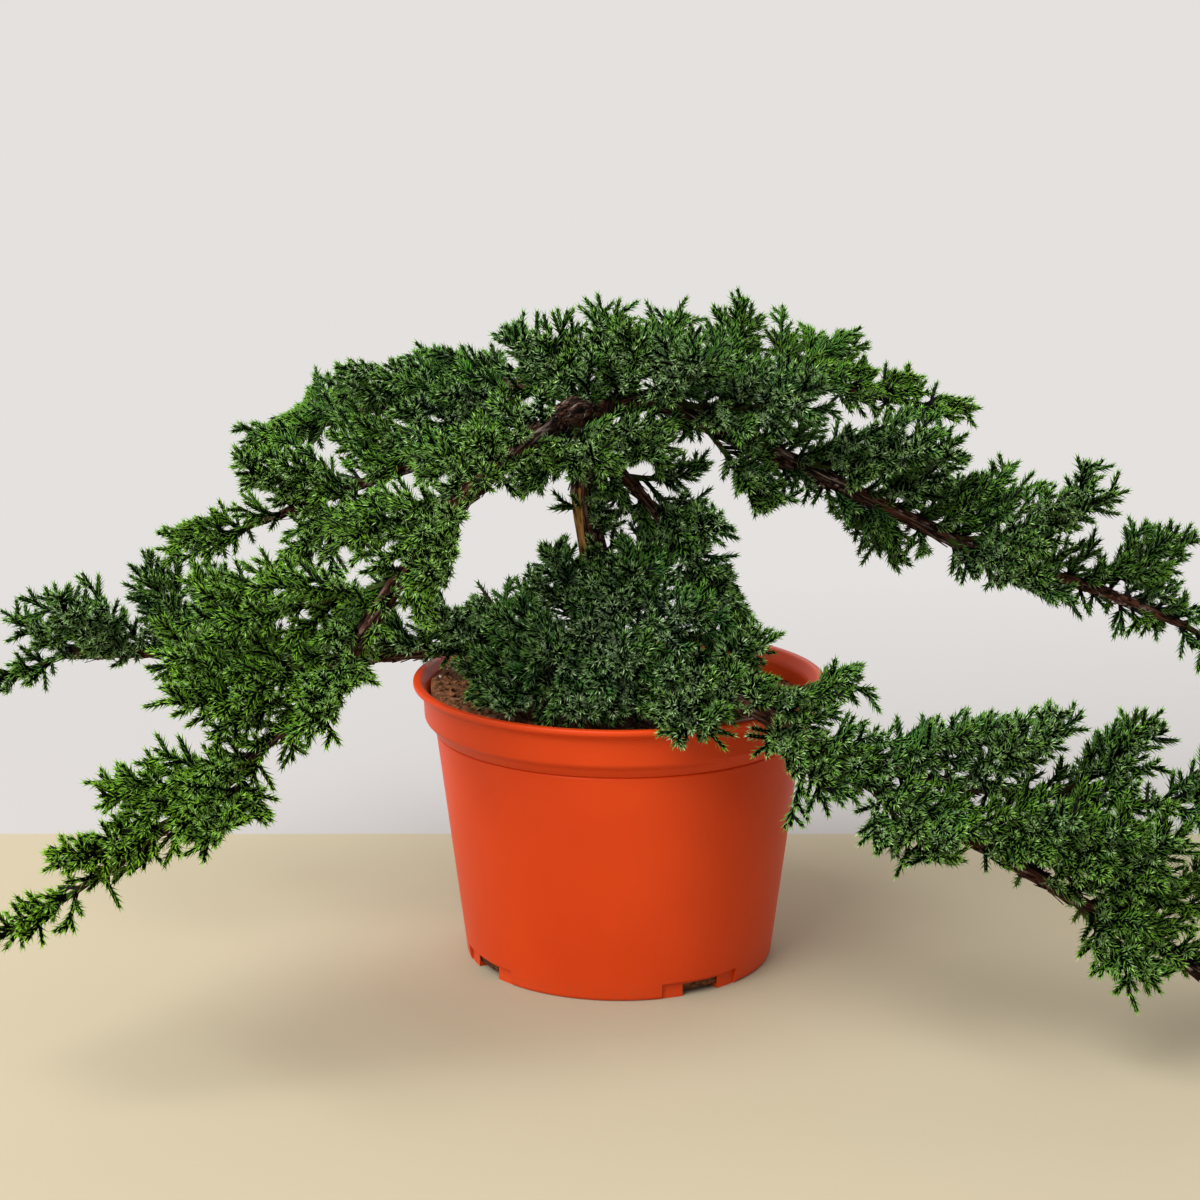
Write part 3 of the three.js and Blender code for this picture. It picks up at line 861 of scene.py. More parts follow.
    def build(self) -> list[bpy.types.Object]:
        """Makes the peat and what lies on it.

        Returns:
            The pieces.
        """
        return [
            dressed("peat", self.heap(), [PEAT], ["soil"], smooth=True),
            dressed("peat_crumbs", self.lumps(self.crumbs, 5, self.crumb_size, 0.75, 1),
                    [PEAT]),
            dressed("perlite_grains", self.lumps(self.grains, 11, self.grain_size, 0.8, 2),
                    [PERLITE], smooth=True),
            dressed("bark_bits", self.flakes(), [CHIPS]),
        ]


# Tree


@dataclass(frozen=True)
class Cover:
    """The short shoots that grow straight from a limb's wood.

    Their spacing and length are in millimetres. They stand round the limb's top, turned from it
    by a few degrees and spread to both sides, between two shares of the limb's length.
    """

    step: float = 4.0
    length: float = 21.0
    turn: float = 0.0
    spread: float = 130.0
    span: tuple[float, float] = (0.06, 1.0)


@dataclass(frozen=True)
class Clearing:
    """Open air that light falls through and no young shoot grows into: a straight round rod of
    it, in millimetres."""

    start: tuple[float, float, float]
    end: tuple[float, float, float]
    radius: float

    def holds(self, spot: Vector) -> bool:
        """Whether a point in metres is in it."""
        start, end = Vector(self.start) * MM, Vector(self.end) * MM
        nearest, share = intersect_point_line(spot, start, end)
        return 0 <= share <= 1 and (spot - nearest).length < self.radius * MM


@dataclass(frozen=True)
class Limb:
    """A limb: the middle of its wood and its sprays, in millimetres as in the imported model.

    A spray is how far along the limb it leaves, from 0 to 1, and where its tip stands. How fresh
    it is tells how yellow-green the needles at its tip are. Its slim sprays are numbered from 1,
    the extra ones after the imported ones.
    """

    name: str
    radius: tuple[float, float]
    wood: tuple[tuple[float, float, float], ...]
    sprays: tuple[tuple[float, float, float, float], ...]
    extra: tuple[tuple[float, float, float, float], ...] = ()
    covers: tuple[Cover, ...] = (Cover(),)
    fresh: float = 0.0
    slim: tuple[int, ...] = ()

    def path(self) -> Path:
        """The middle of its wood, in metres."""
        return Path.through([Vector(spot) * MM for spot in self.wood])

    def youth(self, along: float) -> float:
        """How yellow-green its needles are at a share of its length."""
        return self.fresh * (0.2 + 0.8 * along)

    def girth(self, along: float) -> float:
        """Its radius in metres at a share of its length."""
        root, tip = self.radius
        return (root + (tip - root) * along) * MM


LIMBS = (
    Limb("crown", (6.4, 4.4),
         ((-4, 2, 70), (-4, 2, 104), (-8, 0, 150), (-14, -3, 190), (-9, -2, 212), (-6, 0, 225)),
         ((1, -7, 6, 256),),
         extra=((0.9, -30, 4, 249), (0.97, 10, -8, 246), (0.9, 12, -18, 205),
                (0.84, -35, 2, 194)),
         covers=(Cover(4, 15, span=(0.86, 1)), Cover(2.6, 15, -40, 85, (0.48, 0.9))),
         fresh=0.1),
    Limb("front_left", (4.4, 1.5),
         ((-9, -2, 218), (-18, -16, 222), (-38, -50, 214), (-64, -86, 194), (-88, -106, 163),
          (-113, -118, 133), (-145, -130, 104), (-184, -143, 78)),
         ((0.08, -12, -50, 208), (0.17, -71, -60, 211), (0.33, -99, -86, 188),
          (0.35, -62, -116, 176), (0.48, -150, -102, 167), (0.57, -104, -140, 132),
          (0.6, -159, -110, 148), (0.76, -138, -166, 98), (0.78, -180, -122, 102),
          (1, -218, -156, 60)),
         extra=((0.66, -157, -124, 139), (0.88, -196, -152, 87)),
         covers=(Cover(2.9, 18, 20, 150, (0.12, 0.8)), Cover(2.1, 13, 0, 160, (0.78, 1))),
         fresh=0.5, slim=(10, 12)),
    Limb("mid_left", (3.4, 1.4),
         ((-8, 2, 214), (-46, 8, 208), (-96, 20, 191), (-146, 28, 171)),
         ((0.42, -111, 34, 204), (0.68, -148, 8, 195), (1, -181, 34, 162)),
         extra=((0.6, -126, -6, 163),), covers=(Cover(4, 17, 0, 110),), fresh=0.3),
    Limb("upper_left", (3.4, 1.4),
         ((-7, 4, 222), (-42, 28, 227), (-90, 50, 217), (-118, 60, 208)),
         ((0.08, -42, 10, 247), (0.32, -78, 62, 233), (0.5, -108, 32, 228),
          (0.86, -137, 90, 210), (1, -152, 62, 199)),
         extra=((0.24, -80, 0, 210),), covers=(Cover(4, 15, 0, 120),), fresh=0.14),
    Limb("upper_right", (4.2, 1.6),
         ((-6, 2, 221), (16, 5, 224), (44, 8, 210), (76, 12, 195), (112, 16, 177),
          (146, 14, 161), (190, 8, 148), (226, 2, 134)),
         ((0.07, 30, -30, 243), (0.12, 72, -28, 232), (0.17, 58, -10, 183),
          (0.34, 118, -12, 208), (0.54, 158, 32, 187), (0.6, 168, -16, 150),
          (0.62, 188, -8, 188), (0.84, 225, 22, 163), (1, 257, -6, 118)),
         extra=((0.42, 107, 34, 160), (0.46, 129, 4, 206)),
         covers=(Cover(3.0, 23, -35, 80), Cover(7, 14, 180, 50, (0.03, 1))), fresh=0.12),
    Limb("crest_right", (3.2, 1.4),
         ((6, 6, 222), (32, 22, 228), (74, 42, 226), (114, 54, 218)),
         ((0.1, 19, 38, 251), (0.3, 50, 50, 250), (0.54, 88, 78, 239), (1, 145, 62, 212)),
         extra=((0.62, 104, 58, 229), (0.9, 120, 58, 225)),
         covers=(Cover(4, 15, 0, 120, (0.06, 0.8)), Cover(2.2, 10, 0, 160, (0.78, 1))),
         fresh=0.24, slim=(4, 5, 6)),
    Limb("lower_right", (3.6, 2),
         ((-2, 0, 113), (14, -28, 120), (32, -58, 122), (54, -80, 119.5), (88, -97, 100),
          (136, -108, 75), (182, -116, 50), (214, -122, 31)),
         ((0.18, 52, -54, 140), (0.2, 25, -98, 118), (0.29, 86, -68, 134),
          (0.34, 73, -112, 100), (0.5, 112, -132, 80), (0.8, 184, -134, 37),
          (0.82, 212, -104, 62), (1, 248, -131, 22)),
         extra=((0.62, 165, -118, 90), (0.7, 182, -118, 86), (0.78, 198, -118, 84)),
         covers=(Cover(3.1, 18, -20, 110),), fresh=0.26),
    Limb("right_fork", (2.6, 1.4),
         ((66, -87, 113), (92, -90, 104), (124, -95, 97), (160, -98, 94), (190, -104, 93)),
         ((0.2, 134, -90, 117), (0.46, 156, -110, 125), (0.76, 190, -96, 119),
          (1, 225, -108, 102)), covers=(Cover(3.6, 16, 0, 150),), fresh=0.1),
    Limb("lower_left", (3.2, 1.5),
         ((-5, 4, 113), (-30, 9, 118), (-62, 16, 121), (-94, 22, 117), (-130, 26, 112),
          (-172, 28, 116), (-226, 22, 117)),
         ((0.1, -58, 36, 144), (0.17, -76, -6, 147), (0.58, -164, 10, 151),
          (0.73, -197, 48, 144), (0.86, -224, 0, 142), (1, -262, 18, 104)),
         extra=((0.37, -119, 52, 134), (0.97, -246, 22, 133)),
         covers=(Cover(3.0, 20, 0, 95),), fresh=0.1, slim=(6, 8)),
    Limb("side_limb", (3, 1.3),
         ((-10, -2, 203), (4, -5, 193), (15, -8, 180), (24, -11, 166)),
         ((0.3, 32, 2, 198), (0.7, 42, -26, 180), (1, 46, -16, 138)),
         extra=((0.55, 28, -12, 176), (0.9, 40, -30, 150)),
         covers=(Cover(3.2, 12, 180, 70, (0.1, 0.6)), Cover(4, 14, 0, 170, (0.6, 1))),
         slim=(1, 2)),
    Limb("apron", (3.4, 1.4),
         ((-5, 0, 124), (-8, -14, 134), (-12, -28, 136), (-16, -38, 132)),
         ((0.3, -30, -6, 168), (0.45, 8, -34, 164), (0.7, -56, -32, 119), (1, -14, -70, 116)),
         extra=((0.15, 14, -8, 172), (0.6, 30, -58, 152), (0.8, 6, -74, 138),
                (0.9, -26, -62, 136), (0.8, -46, -56, 115), (0.95, 8, -66, 118)),
         covers=(Cover(2.4, 25, 0, 150),)),
)

CLEARINGS = (
    Clearing((-17.8, -140, 238), (-19.3, -24, 220), 8),
    Clearing((-41, -150, 199), (-52, 110, 146), 15),
    Clearing((-25, -150, 204), (-30, 110, 154), 7),
    Clearing((-48, -150, 189), (-61, 110, 133), 10),
    Clearing((-57, -140, 179), (-69, 60, 135), 6),
    Clearing((-61, -140, 146), (-70, 10, 106), 8),
    Clearing((-15, -140, 209), (-16, -10, 183), 6),
    Clearing((-13.6, -140, 193), (-14.5, -10, 166), 6),
    Clearing((6.5, -140, 217), (9, 60, 183), 7),
    Clearing((33, -150, 230), (44, 60, 195), 6),
    Clearing((38, -150, 207), (50, 60, 170), 6),
    Clearing((37, -60, 198), (43, 40, 180), 5),
    Clearing((49, -90, 175), (57, 40, 147), 8),
    Clearing((60, -140, 155), (76, 40, 108), 10),
    Clearing((-83, -150, 280), (-107, 110, 253), 25),
    Clearing((-58, -150, 286), (-73, 110, 260), 25),
    Clearing((-121, -150, 260), (-157, 110, 226), 25),
    Clearing((-151, -150, 226), (-197, 110, 182), 25),
    Clearing((68, -150, 289), (92, 110, 265), 25),
    Clearing((131, -150, 163), (174, 110, 99), 24),
    Clearing((59, -150, 190), (80, 110, 135), 25),
    Clearing((74, -150, 74), (100, 110, -17), 20),
    Clearing((111, -150, 61), (148, 110, -35), 24),
    Clearing((-121, -200, 107), (-134, -110, 77), 10),
    Clearing((-82, -180, 145), (-92, -80, 117), 12),
    Clearing((47, -160, 115), (54, -60, 84), 12),
    Clearing((80, -120, 158), (91, -20, 134), 9),
    Clearing((96, -120, 146), (108, -20, 121), 10),
    Clearing((106, -150, 148), (120, -50, 122), 10),
    Clearing((122, -150, 148), (137, -50, 122), 9),
    Clearing((-227, -40, 110), (-251, 60, 82), 9),
)


class Rank(Enum):
    """How far a shoot is from the limb: its stem's radius at root and tip, its stem's pieces, its
    skin's number, its needles' size, the step between its whorls and the steps left bare at its
    root."""

    MAIN = (1.3 * MM, 0.8 * MM, 5, 1, 1.0, 1.7 * MM, 2.5)
    SIDE = (1.0 * MM, 0.8 * MM, 2, 0, 1.0, 1.7 * MM, 2.5)
    TWIG = (0.85 * MM, 0.7 * MM, 1, 0, 0.94, 1.15 * MM, 1.5)

    def __init__(self, root: float, tip: float, pieces: int, skin: int, needle: float,
                 step: float, bare: float) -> None:
        """Names the values."""
        self.root = root
        self.tip = tip
        self.pieces = pieces
        self.skin = skin
        self.needle = needle
        self.step = step
        self.bare = bare


class Form(Enum):
    """How far a whorl has opened: its needles' lean in degrees and their size."""

    OPEN = (38, 1.04)
    HALF = (38, 1.02)
    SHUT = (35, 0.96)
    BUD = (25, 0.84)


@dataclass
class Shoot:
    """One needle-clad shoot. A twig is copied whole, so it has a place and a number of whorls
    instead of a path."""

    rank: Rank
    tone: float
    youth: float
    path: Path | None = None
    place: Matrix | None = None
    whorls: int = 0


@dataclass(frozen=True)
class Growth:
    """Where a shoot has room to grow: its root, its tip and the side that it leaves to."""

    start: Vector
    end: Vector
    side: Vector

    @property
    def length(self) -> float:
        """From root to tip."""
        return (self.end - self.start).length

    def path(self, bend: float = 0.09) -> Path:
        """Its line, which leaves to the side and then turns along its bearer."""
        along = (self.end - self.start).normalized()
        elbow = self.start.lerp(self.end, 0.5) + (self.side - along) * (bend * self.length)
        return Path.arch(self.start, elbow, self.end, 6)

    def place(self) -> Matrix:
        """Its root's place, with Z towards its tip and X to its side."""
        along = (self.end - self.start).normalized()
        side = (self.side - along * self.side.dot(along)).normalized()
        turned = Matrix((side, along.cross(side), along)).transposed().to_4x4()
        return Matrix.Translation(self.start) @ turned


@dataclass
class Stamps:
    """Small finished shapes that are copied along the shoots: whorls, stems and whole twigs.

    A needle's sizes come first. Those of a whorl differ by up to the play in their turn and roll
    in radians and their lean in degrees, and by their share of the full size.
    """

    length: float = 4.0 * MM
    width: float = 0.84 * MM
    thickness: float = 0.6 * MM
    turn_play: float = 0.2
    roll_play: float = 0.25
    lean_play: float = 7.0
    size_play: tuple[float, float] = (0.88, 1.08)
    variants: int = 4
    least_whorls: int = 4
    twig_whorls: tuple[int, int] = (4, 11)
    forms: dict[Form, list[bpy.types.Mesh]] = field(default_factory=dict)
    stems: list[bpy.types.Mesh] = field(default_factory=list)
    twigs: dict[int, list[bpy.types.Mesh]] = field(default_factory=dict)

    @staticmethod
    def blank() -> bmesh.types.BMesh:
        """An empty mesh with the needles' numbers for each corner and each face."""
        bm = bmesh.new()
        bm.verts.layers.float.new(SPREAD)
        for name in (INNER, TIP, TONE_AND_SHADE, YOUTH):
            bm.faces.layers.float.new(name)
        return bm

    @staticmethod
    def kept(bm: bmesh.types.BMesh, name: str) -> bpy.types.Mesh:
        """Keeps a shape to copy from.

        Args:
            bm: Its mesh; it is freed.
            name: Its name.

        Returns:
            Its mesh data.
        """
        mesh = bpy.data.meshes.new(name)
        bm.to_mesh(mesh)
        bm.free()
        return mesh

    def needle(self, bm: bmesh.types.BMesh, place: Matrix, size: float) -> None:
        """Adds one awl-shaped needle, flat inside and keeled outside, open where it is rooted.

        Args:
            bm: The mesh to add it to.
            place: Its root's place, with Z along the needle and +X away from the shoot.
            size: Of the full length.
        """
        full = self.length * size
        shape = Matrix.Diagonal((self.thickness / 1.5, self.width / math.sqrt(3), 1, 1))
        keel = Matrix.Rotation(-math.pi / 2, 4, "Z")
        lift = Matrix.Translation((0, 0, full / 2))
        made = bmesh.ops.create_cone(bm, cap_ends=False, segments=3, radius1=1, radius2=0,
                                     depth=full, matrix=place @ shape @ keel @ lift)["verts"]
        spread = bm.verts.layers.float[SPREAD]
        end = place @ Vector((0, 0, full))
        for vert in made:
            vert[spread] = 1 - (vert.co - end).length / full

    def whorl(self, form: Form, variant: int) -> bpy.types.Mesh:
        """Makes one whorl of three needles round a shoot that runs along Z.

        Args:
            form: How far it has opened.
            variant: Which of its slightly different kinds.

        Returns:
            Its mesh, with the needles' inner sides marked.
        """
        lean, size = form.value
        draws = random.Random(31 * variant + int(lean))
        bm = self.blank()
        inner = bm.faces.layers.float[INNER]
        for corner in range(3):
            turn = corner * math.tau / 3 + draws.uniform(-self.turn_play, self.turn_play)
            leaned = math.radians(lean + draws.uniform(-self.lean_play, self.lean_play))
            roll = draws.uniform(-self.roll_play, self.roll_play)
            place = Matrix.Rotation(turn, 4, "Z") @ Matrix.Rotation(leaned, 4, "Y")
            self.needle(bm, place @ Matrix.Rotation(roll, 4, "Z"),
                        size * draws.uniform(*self.size_play))
        # The inner faces carry the bloom, and so its painted highlight, at a random strength
        for face in bm.faces:
            face[inner] = draws.uniform(0.1, 1) if face.normal.z > 0.25 else draws.uniform(0, 0.15)
        return self.kept(bm, f"whorl {form.name} {variant}")

    def stem(self, skin: int) -> bpy.types.Mesh:
        """Makes one length of stem, one unit long and one in radius, along Z.

        Args:
            skin: Its material's number.

        Returns:
            Its mesh.
        """
        bm = self.blank()
        bmesh.ops.create_cone(bm, cap_ends=False, segments=3 + skin, radius1=1, radius2=0.9,
                              depth=1, matrix=Matrix.Translation((0, 0, 0.5)))
        for face in bm.faces:
            face.material_index = skin
        return self.kept(bm, "stem")

    def twig(self, whorls: int, variant: int) -> bpy.types.Mesh:
        """Makes one whole twig, rooted at the origin, that grows along Z and bends from +X.

        Args:
            whorls: How many whorls it has.
            variant: Which of its kinds.

        Returns:
            Its mesh.
        """
        draws = random.Random(17 * whorls + variant)
        length = whorls * Rank.TWIG.step
        elbow = Vector((draws.uniform(0.05, 0.16), draws.uniform(-0.07, 0.07), 0.5)) * length
        path = Path.arch(Vector(), elbow, UP * length, 6)
        bm = self.blank()
        self.clothe(bm, Shoot(Rank.TWIG, 0, 0, path))
        return self.kept(bm, f"twig {whorls} {variant}")

    def clothe(self, bm: bmesh.types.BMesh, shoot: Shoot) -> None:
        """Adds a shoot: a whole twig at its place, or a stem with whorls along its path.

        Args:
            bm: The mesh to add it to.
            shoot: The shoot.
        """
        if shoot.place:
            kinds = self.twigs[shoot.whorls]
            shape = kinds[int(shoot.tone * 97 + shoot.place.translation.x / MM) % len(kinds)]
            self.stamp(bm, shape, shoot.place, shoot)
            return
        path, rank = shoot.path, shoot.rank
        for part in range(rank.pieces):
            share = part / rank.pieces
            start = path.at(share)
            step = path.at(share + 1 / rank.pieces) - start
            girth = rank.root + (rank.tip - rank.root) * share
            turn = step.to_track_quat("Z", "Y").to_matrix().to_4x4()
            size = Matrix.Diagonal((girth, girth, step.length * 1.04, 1))
            place = Matrix.Translation(start) @ turn @ size
            self.stamp(bm, self.stems[rank.skin], place, shoot)
        number = max(int(path.length / rank.step), self.least_whorls)
        shares = [(i + rank.bare) / number for i in range(number) if i + rank.bare < number]
        for order, place in enumerate(path.frames(shares)):
            left = min(len(shares) - 1 - order, 3)
            kinds = self.forms[list(Form)[3 - left]]
            roll = Matrix.Rotation(order * math.pi / 3 + shoot.tone * 6, 4, "Z")
            place = place @ roll @ Matrix.Scale(rank.needle, 4)
            self.stamp(bm, kinds[(order * 7 + number) % len(kinds)], place, shoot, 1 - left / 3)

    def prepare(self) -> None:
        """Makes all the shapes."""
        for form in Form:
            self.forms[form] = [self.whorl(form, i) for i in range(self.variants)]
        self.stems = [self.stem(skin) for skin in (0, 1)]
        low, high = self.twig_whorls
        for whorls in range(low, high + 1):
            self.twigs[whorls] = [self.twig(whorls, i) for i in range(self.variants)]

    def discard(self) -> None:
        """Removes the shapes that were copied from."""
        for row in (self.stems, *self.forms.values(), *self.twigs.values()):
            for mesh in row:
                bpy.data.meshes.remove(mesh)

    @staticmethod
    def stamp(bm: bmesh.types.BMesh, mesh: bpy.types.Mesh, place: Matrix, shoot: Shoot,
              tip: float | None = None) -> None:
        """Copies one shape to a place.

        Args:
            bm: The mesh to add it to.
            mesh: The shape.
            place: Where it goes.
            shoot: The shoot that it is part of.
            tip: How near the shoot's tip it is, from 0 to 1, where the shape doesn't hold that.
        """
        copy = mesh.copy()
        copy.transform(place)
        faces = len(copy.polygons)
        for name, value in ((TONE_AND_SHADE, shoot.tone), (YOUTH, shoot.youth), (TIP, tip)):
            if value is not None:
                copy.attributes[name].data.foreach_set("value", [value] * faces)
        bm.from_mesh(copy)
        bpy.data.meshes.remove(copy)


@dataclass
class Foliage:
    """Every spray of the tree, and the short shoots that grow straight from its limbs.

    A main shoot bends at its elbow, which stands a share of its reach along it, further along the
    limb by another share and lower by a third. It has places for side shoots: every nth one is
    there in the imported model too, and those between are shorter. A slim spray's side shoots and
    twigs are shorter still. Rolls are the most degrees from the top, and leans are the middle and
    the spread of the degrees from the bearer. A shoot without room tries other turns in radians,
    each with a share of its length.
    """

    pot: Pot
    soil: Soil
    stamps: Stamps
    elbow: tuple[float, float, float] = (0.42, 0.14, 0.06)
    places: int = 20
    every_nth: int = 4
    least_reach: float = 36 * MM
    least_packed: float = 11 * MM
    between: float = 0.66
    least_between: float = 9 * MM
    slim_sides: float = 0.55
    slim_twigs: float = 0.8
    side_roll: float = 115.0
    side_lean: tuple[float, float] = (46.0, 10.0)
    twig_step: float = 3.0 * MM
    twig_length: float = 9.6 * MM
    twig_roll: float = 150.0
    twig_lean: tuple[float, float] = (40.0, 16.0)
    short_lean: tuple[float, float] = (56.0, 18.0)
    upturn: float = 0.08
    tries: tuple[tuple[float, float], ...] = (
        (0, 1), (0.6, 1), (-0.6, 1), (1.2, 0.8), (-1.2, 0.8), (0, 0.55))
    needle_room: float = 2.6 * MM

    def blocked(self, start: Vector, end: Vector) -> bool:
        """Whether a straight stretch of shoot would meet the pot, the soil or the floor.

        Args:
            start: Its root.
            end: Its tip.

        Returns:
            True where it would.
        """
        room = self.needle_room
        for share in (0.3, 0.6, 0.8, 1):
            spot = start.lerp(end, share)
            out = spot.xy.length
            if spot.z < room:
                return True
            if out > self.pot.lip_radius + room or spot.z > self.pot.height + room:
                continue
            in_pot = out < self.pot.inner_radius(self.pot.height) - room
            if not in_pot or spot.z < self.soil.top(spot.x, spot.y) + room:
                return True
        return False

    @staticmethod
    def in_clearing(spot: Vector) -> bool:
        """Whether a shoot's tip would stand in one of the tree's clearings."""
        return any(clearing.holds(spot) for clearing in CLEARINGS)

    def main_shoot(self, limb: Limb, path: Path, row: Sequence[float]) -> Path:
        """Grows a spray's main shoot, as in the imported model.

        Args:
            limb: The limb that bears it.
            path: The limb's middle.
            row: How far along it leaves, and where its tip stands in millimetres.

        Returns:
            The main shoot's line.
        """
        along, *place = row
        foot = path.at(along)
        grain = path.heading(along)
        reach = Vector(place) * MM - foot
        outward = (reach - grain * reach.dot(grain)).normalized()
        leaving = grain if along == 1 else outward
        bare_wood = 0 if along == 1 else limb.girth(along) * 0.7
        root = foot + leaving * bare_wood
        out, onward, drop = self.elbow
        elbow = root + reach * out + grain * (onward * reach.length) - UP * (drop * reach.length)
        return Path.arch(root, elbow, Vector(place) * MM)

    def forked(self, path: Path, along: float, roll: float, lean: float, length: float,
               upturn: float) -> Growth | None:
        """Finds room for a shoot from the side of another.

        Args:
            path: The shoot that bears it.
            along: How far along that one it leaves.
            roll: Radians from the top.
            lean: Radians from that one's heading.
            length: Its length.
            upturn: How far its tip turns up, as a share of its length.

        Returns:
            Where it grows, or None where it has no room.
        """
        heading = path.heading(along)
        top = UP if abs(heading.z) < 0.9 else SIDEWAYS
        lift = (top - heading * top.dot(heading)).normalized()
        across = heading.cross(lift)
        start = path.at(along)
        for turn, stretch in self.tries:
            side = lift * math.cos(roll + turn) + across * math.sin(roll + turn)
            reach = heading * math.cos(lean) + side * math.sin(lean) + UP * upturn
            end = start + reach.normalized() * length * stretch
            if self.in_clearing(end) or self.in_clearing(start.lerp(end, 0.5)):
                continue
            if not self.blocked(start, end):
                return Growth(start, end, side)
        return None

    def plume(self, growth: Growth, count: int, youth: float,
              slim: bool = False) -> Iterator[Shoot]:
        """Grows a side shoot with its short last twigs.

        Args:
            growth: Where it has room.
            count: A number of its own, for the scatter.
            youth: How young its limb's needles are.
            slim: Whether its twigs are short.

        Yields:
            Its shoots.
        """
        path = growth.path()
        tone = 0.25 + 0.75 * scatter(count, Trait.SIDE_TONE)
        youth += 0.2 * scatter(count, Trait.SIDE_YOUTH)
        yield Shoot(Rank.SIDE, tone, youth, path)
        low, high = self.stamps.twig_whorls
        number = int(path.length / self.twig_step)
        for place in range(number):
            mark = 50 * count + place
            along = 0.12 + 0.78 * (place + 0.7 * scatter(mark, Trait.TWIG_PLACE)) / number
            roll = math.radians(self.twig_roll) * math.sin(GOLDEN_TURN * mark)
            lean = math.radians(varied(*self.twig_lean, mark, Trait.TWIG_LEAN))
            change = 0.75 + 0.5 * scatter(mark, Trait.TWIG_LENGTH)
            length = self.twig_length * (1.15 - 0.55 * along) * change
            length *= self.slim_twigs if slim else 1
            twig = self.forked(path, along, roll, lean, length, self.upturn)
            if twig:
                whorls = min(max(round(twig.length / Rank.TWIG.step), low), high)
                # Painted shade: twigs near the root of a side shoot get a darker tone and outer
                # ones a lighter one, so the inner ones show deeper green and less bloom
                lit = tone * (0.3 + 0.7 * along)
                yield Shoot(Rank.TWIG, lit, youth, None, twig.place(), whorls)

    def spray(self, main: Path, number: int, fresh: float, slim: bool = False) -> Iterator[Shoot]:
        """Grows a whole spray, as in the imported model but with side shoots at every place.

        Args:
            main: Its main shoot's line.
            number: Its number in the whole tree.
            fresh: How yellow-green its limb is.
            slim: Whether its side shoots are short.

        Yields:
            Its shoots.
        """
        yield Shoot(Rank.MAIN, scatter(number, Trait.SPRAY_TONE), fresh, main)
        reach = max((main.at(1) - main.at(0)).length, self.least_reach)
        for place in range(self.places):
            count = number * self.places + place
            shift = 0.6 * scatter(count, Trait.SIDE_PLACE)
            along = 0.12 + 0.82 * (place + shift) / self.places
            roll = math.radians(self.side_roll) * math.sin(GOLDEN_TURN * count)
            lean = math.radians(varied(*self.side_lean, count, Trait.SIDE_LEAN))
            change = varied(1, 0.3, count, Trait.SIDE_LENGTH)
            length = max(reach * (0.8 - 0.5 * along) * change, self.least_packed)
            packed = place % self.every_nth == 1
            if not packed:
                length = max(length * self.between, self.least_between)
                lean *= 1 - 0.3 * along
            length *= self.slim_sides if slim else 1
            side = self.forked(main, along, roll, lean, length, 0 if packed else self.upturn)
            if side:
                yield from self.plume(side, count, fresh, slim)

    def short_shoots(self, limb: Limb, cover: Cover, path: Path, number: int) -> Iterator[Shoot]:
        """Grows the short shoots that cover a stretch of a limb's own wood.

        Args:
            limb: The limb.
            cover: Which shoots there are, and where.
            path: The limb's middle.
            number: The cover's number.

        Yields:
            The shoots.
        """
        first, last = cover.span
        total = int(path.length * (last - first) / (cover.step * MM))
        for place in range(total):
            count = 1000 * (number + 1) + place
            along = first + (last - first) * (place + scatter(count, Trait.SIDE_PLACE)) / total
            side = 2 * (place * GOLDEN_SHARE % 1) - 1
            roll = math.radians(cover.turn + cover.spread * side)
            lean = math.radians(varied(*self.short_lean, count, Trait.SIDE_LEAN))
            change = 0.6 + 0.7 * scatter(count, Trait.SIDE_LENGTH)
            length = cover.length * MM * (1.15 - 0.4 * along) * change
            grown = self.forked(path, min(along, 0.99), roll, lean, length, self.upturn)
            if grown:
                yield from self.plume(grown, count, limb.youth(along))

    def piece(self, name: str, shoots: Iterator[Shoot], replaced: Sequence[str] = ()) -> None:
        """Makes one piece of foliage.

        Args:
            name: Its name.
            shoots: Its shoots.
            replaced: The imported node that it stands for.
        """
        bm = self.stamps.blank()
        for shoot in shoots:
            self.stamps.clothe(bm, shoot)
        dressed(name, bm, [NEEDLES, YOUNG_BARK], replaced)

    def build(self) -> None:
        """Makes all the foliage."""
        self.stamps.prepare()
        number = 0
        for order, limb in enumerate(LIMBS):
            path = limb.path()
            for row_number, row in enumerate(limb.sprays):
                main = self.main_shoot(limb, path, row)
                node = f"{limb.name}_spray_{row_number + 1:02d}"
                shoots = self.spray(main, number, limb.youth(row[0]), row_number + 1 in limb.slim)
                self.piece(f"{node}_needles", shoots, [node])
                number += 1
            for row_number, row in enumerate(limb.extra):
                main = self.main_shoot(limb, path, row)
                slim = len(limb.sprays) + row_number + 1 in limb.slim
                self.piece(f"{limb.name}_inner_{row_number + 1:02d}",
                           self.spray(main, 100 + number, limb.youth(row[0]), slim))
            self.piece(f"{limb.name}_short_shoots", chain.from_iterable(
                self.short_shoots(limb, cover, path, 20 * kind + order)
                for kind, cover in enumerate(limb.covers)))
        self.stamps.discard()


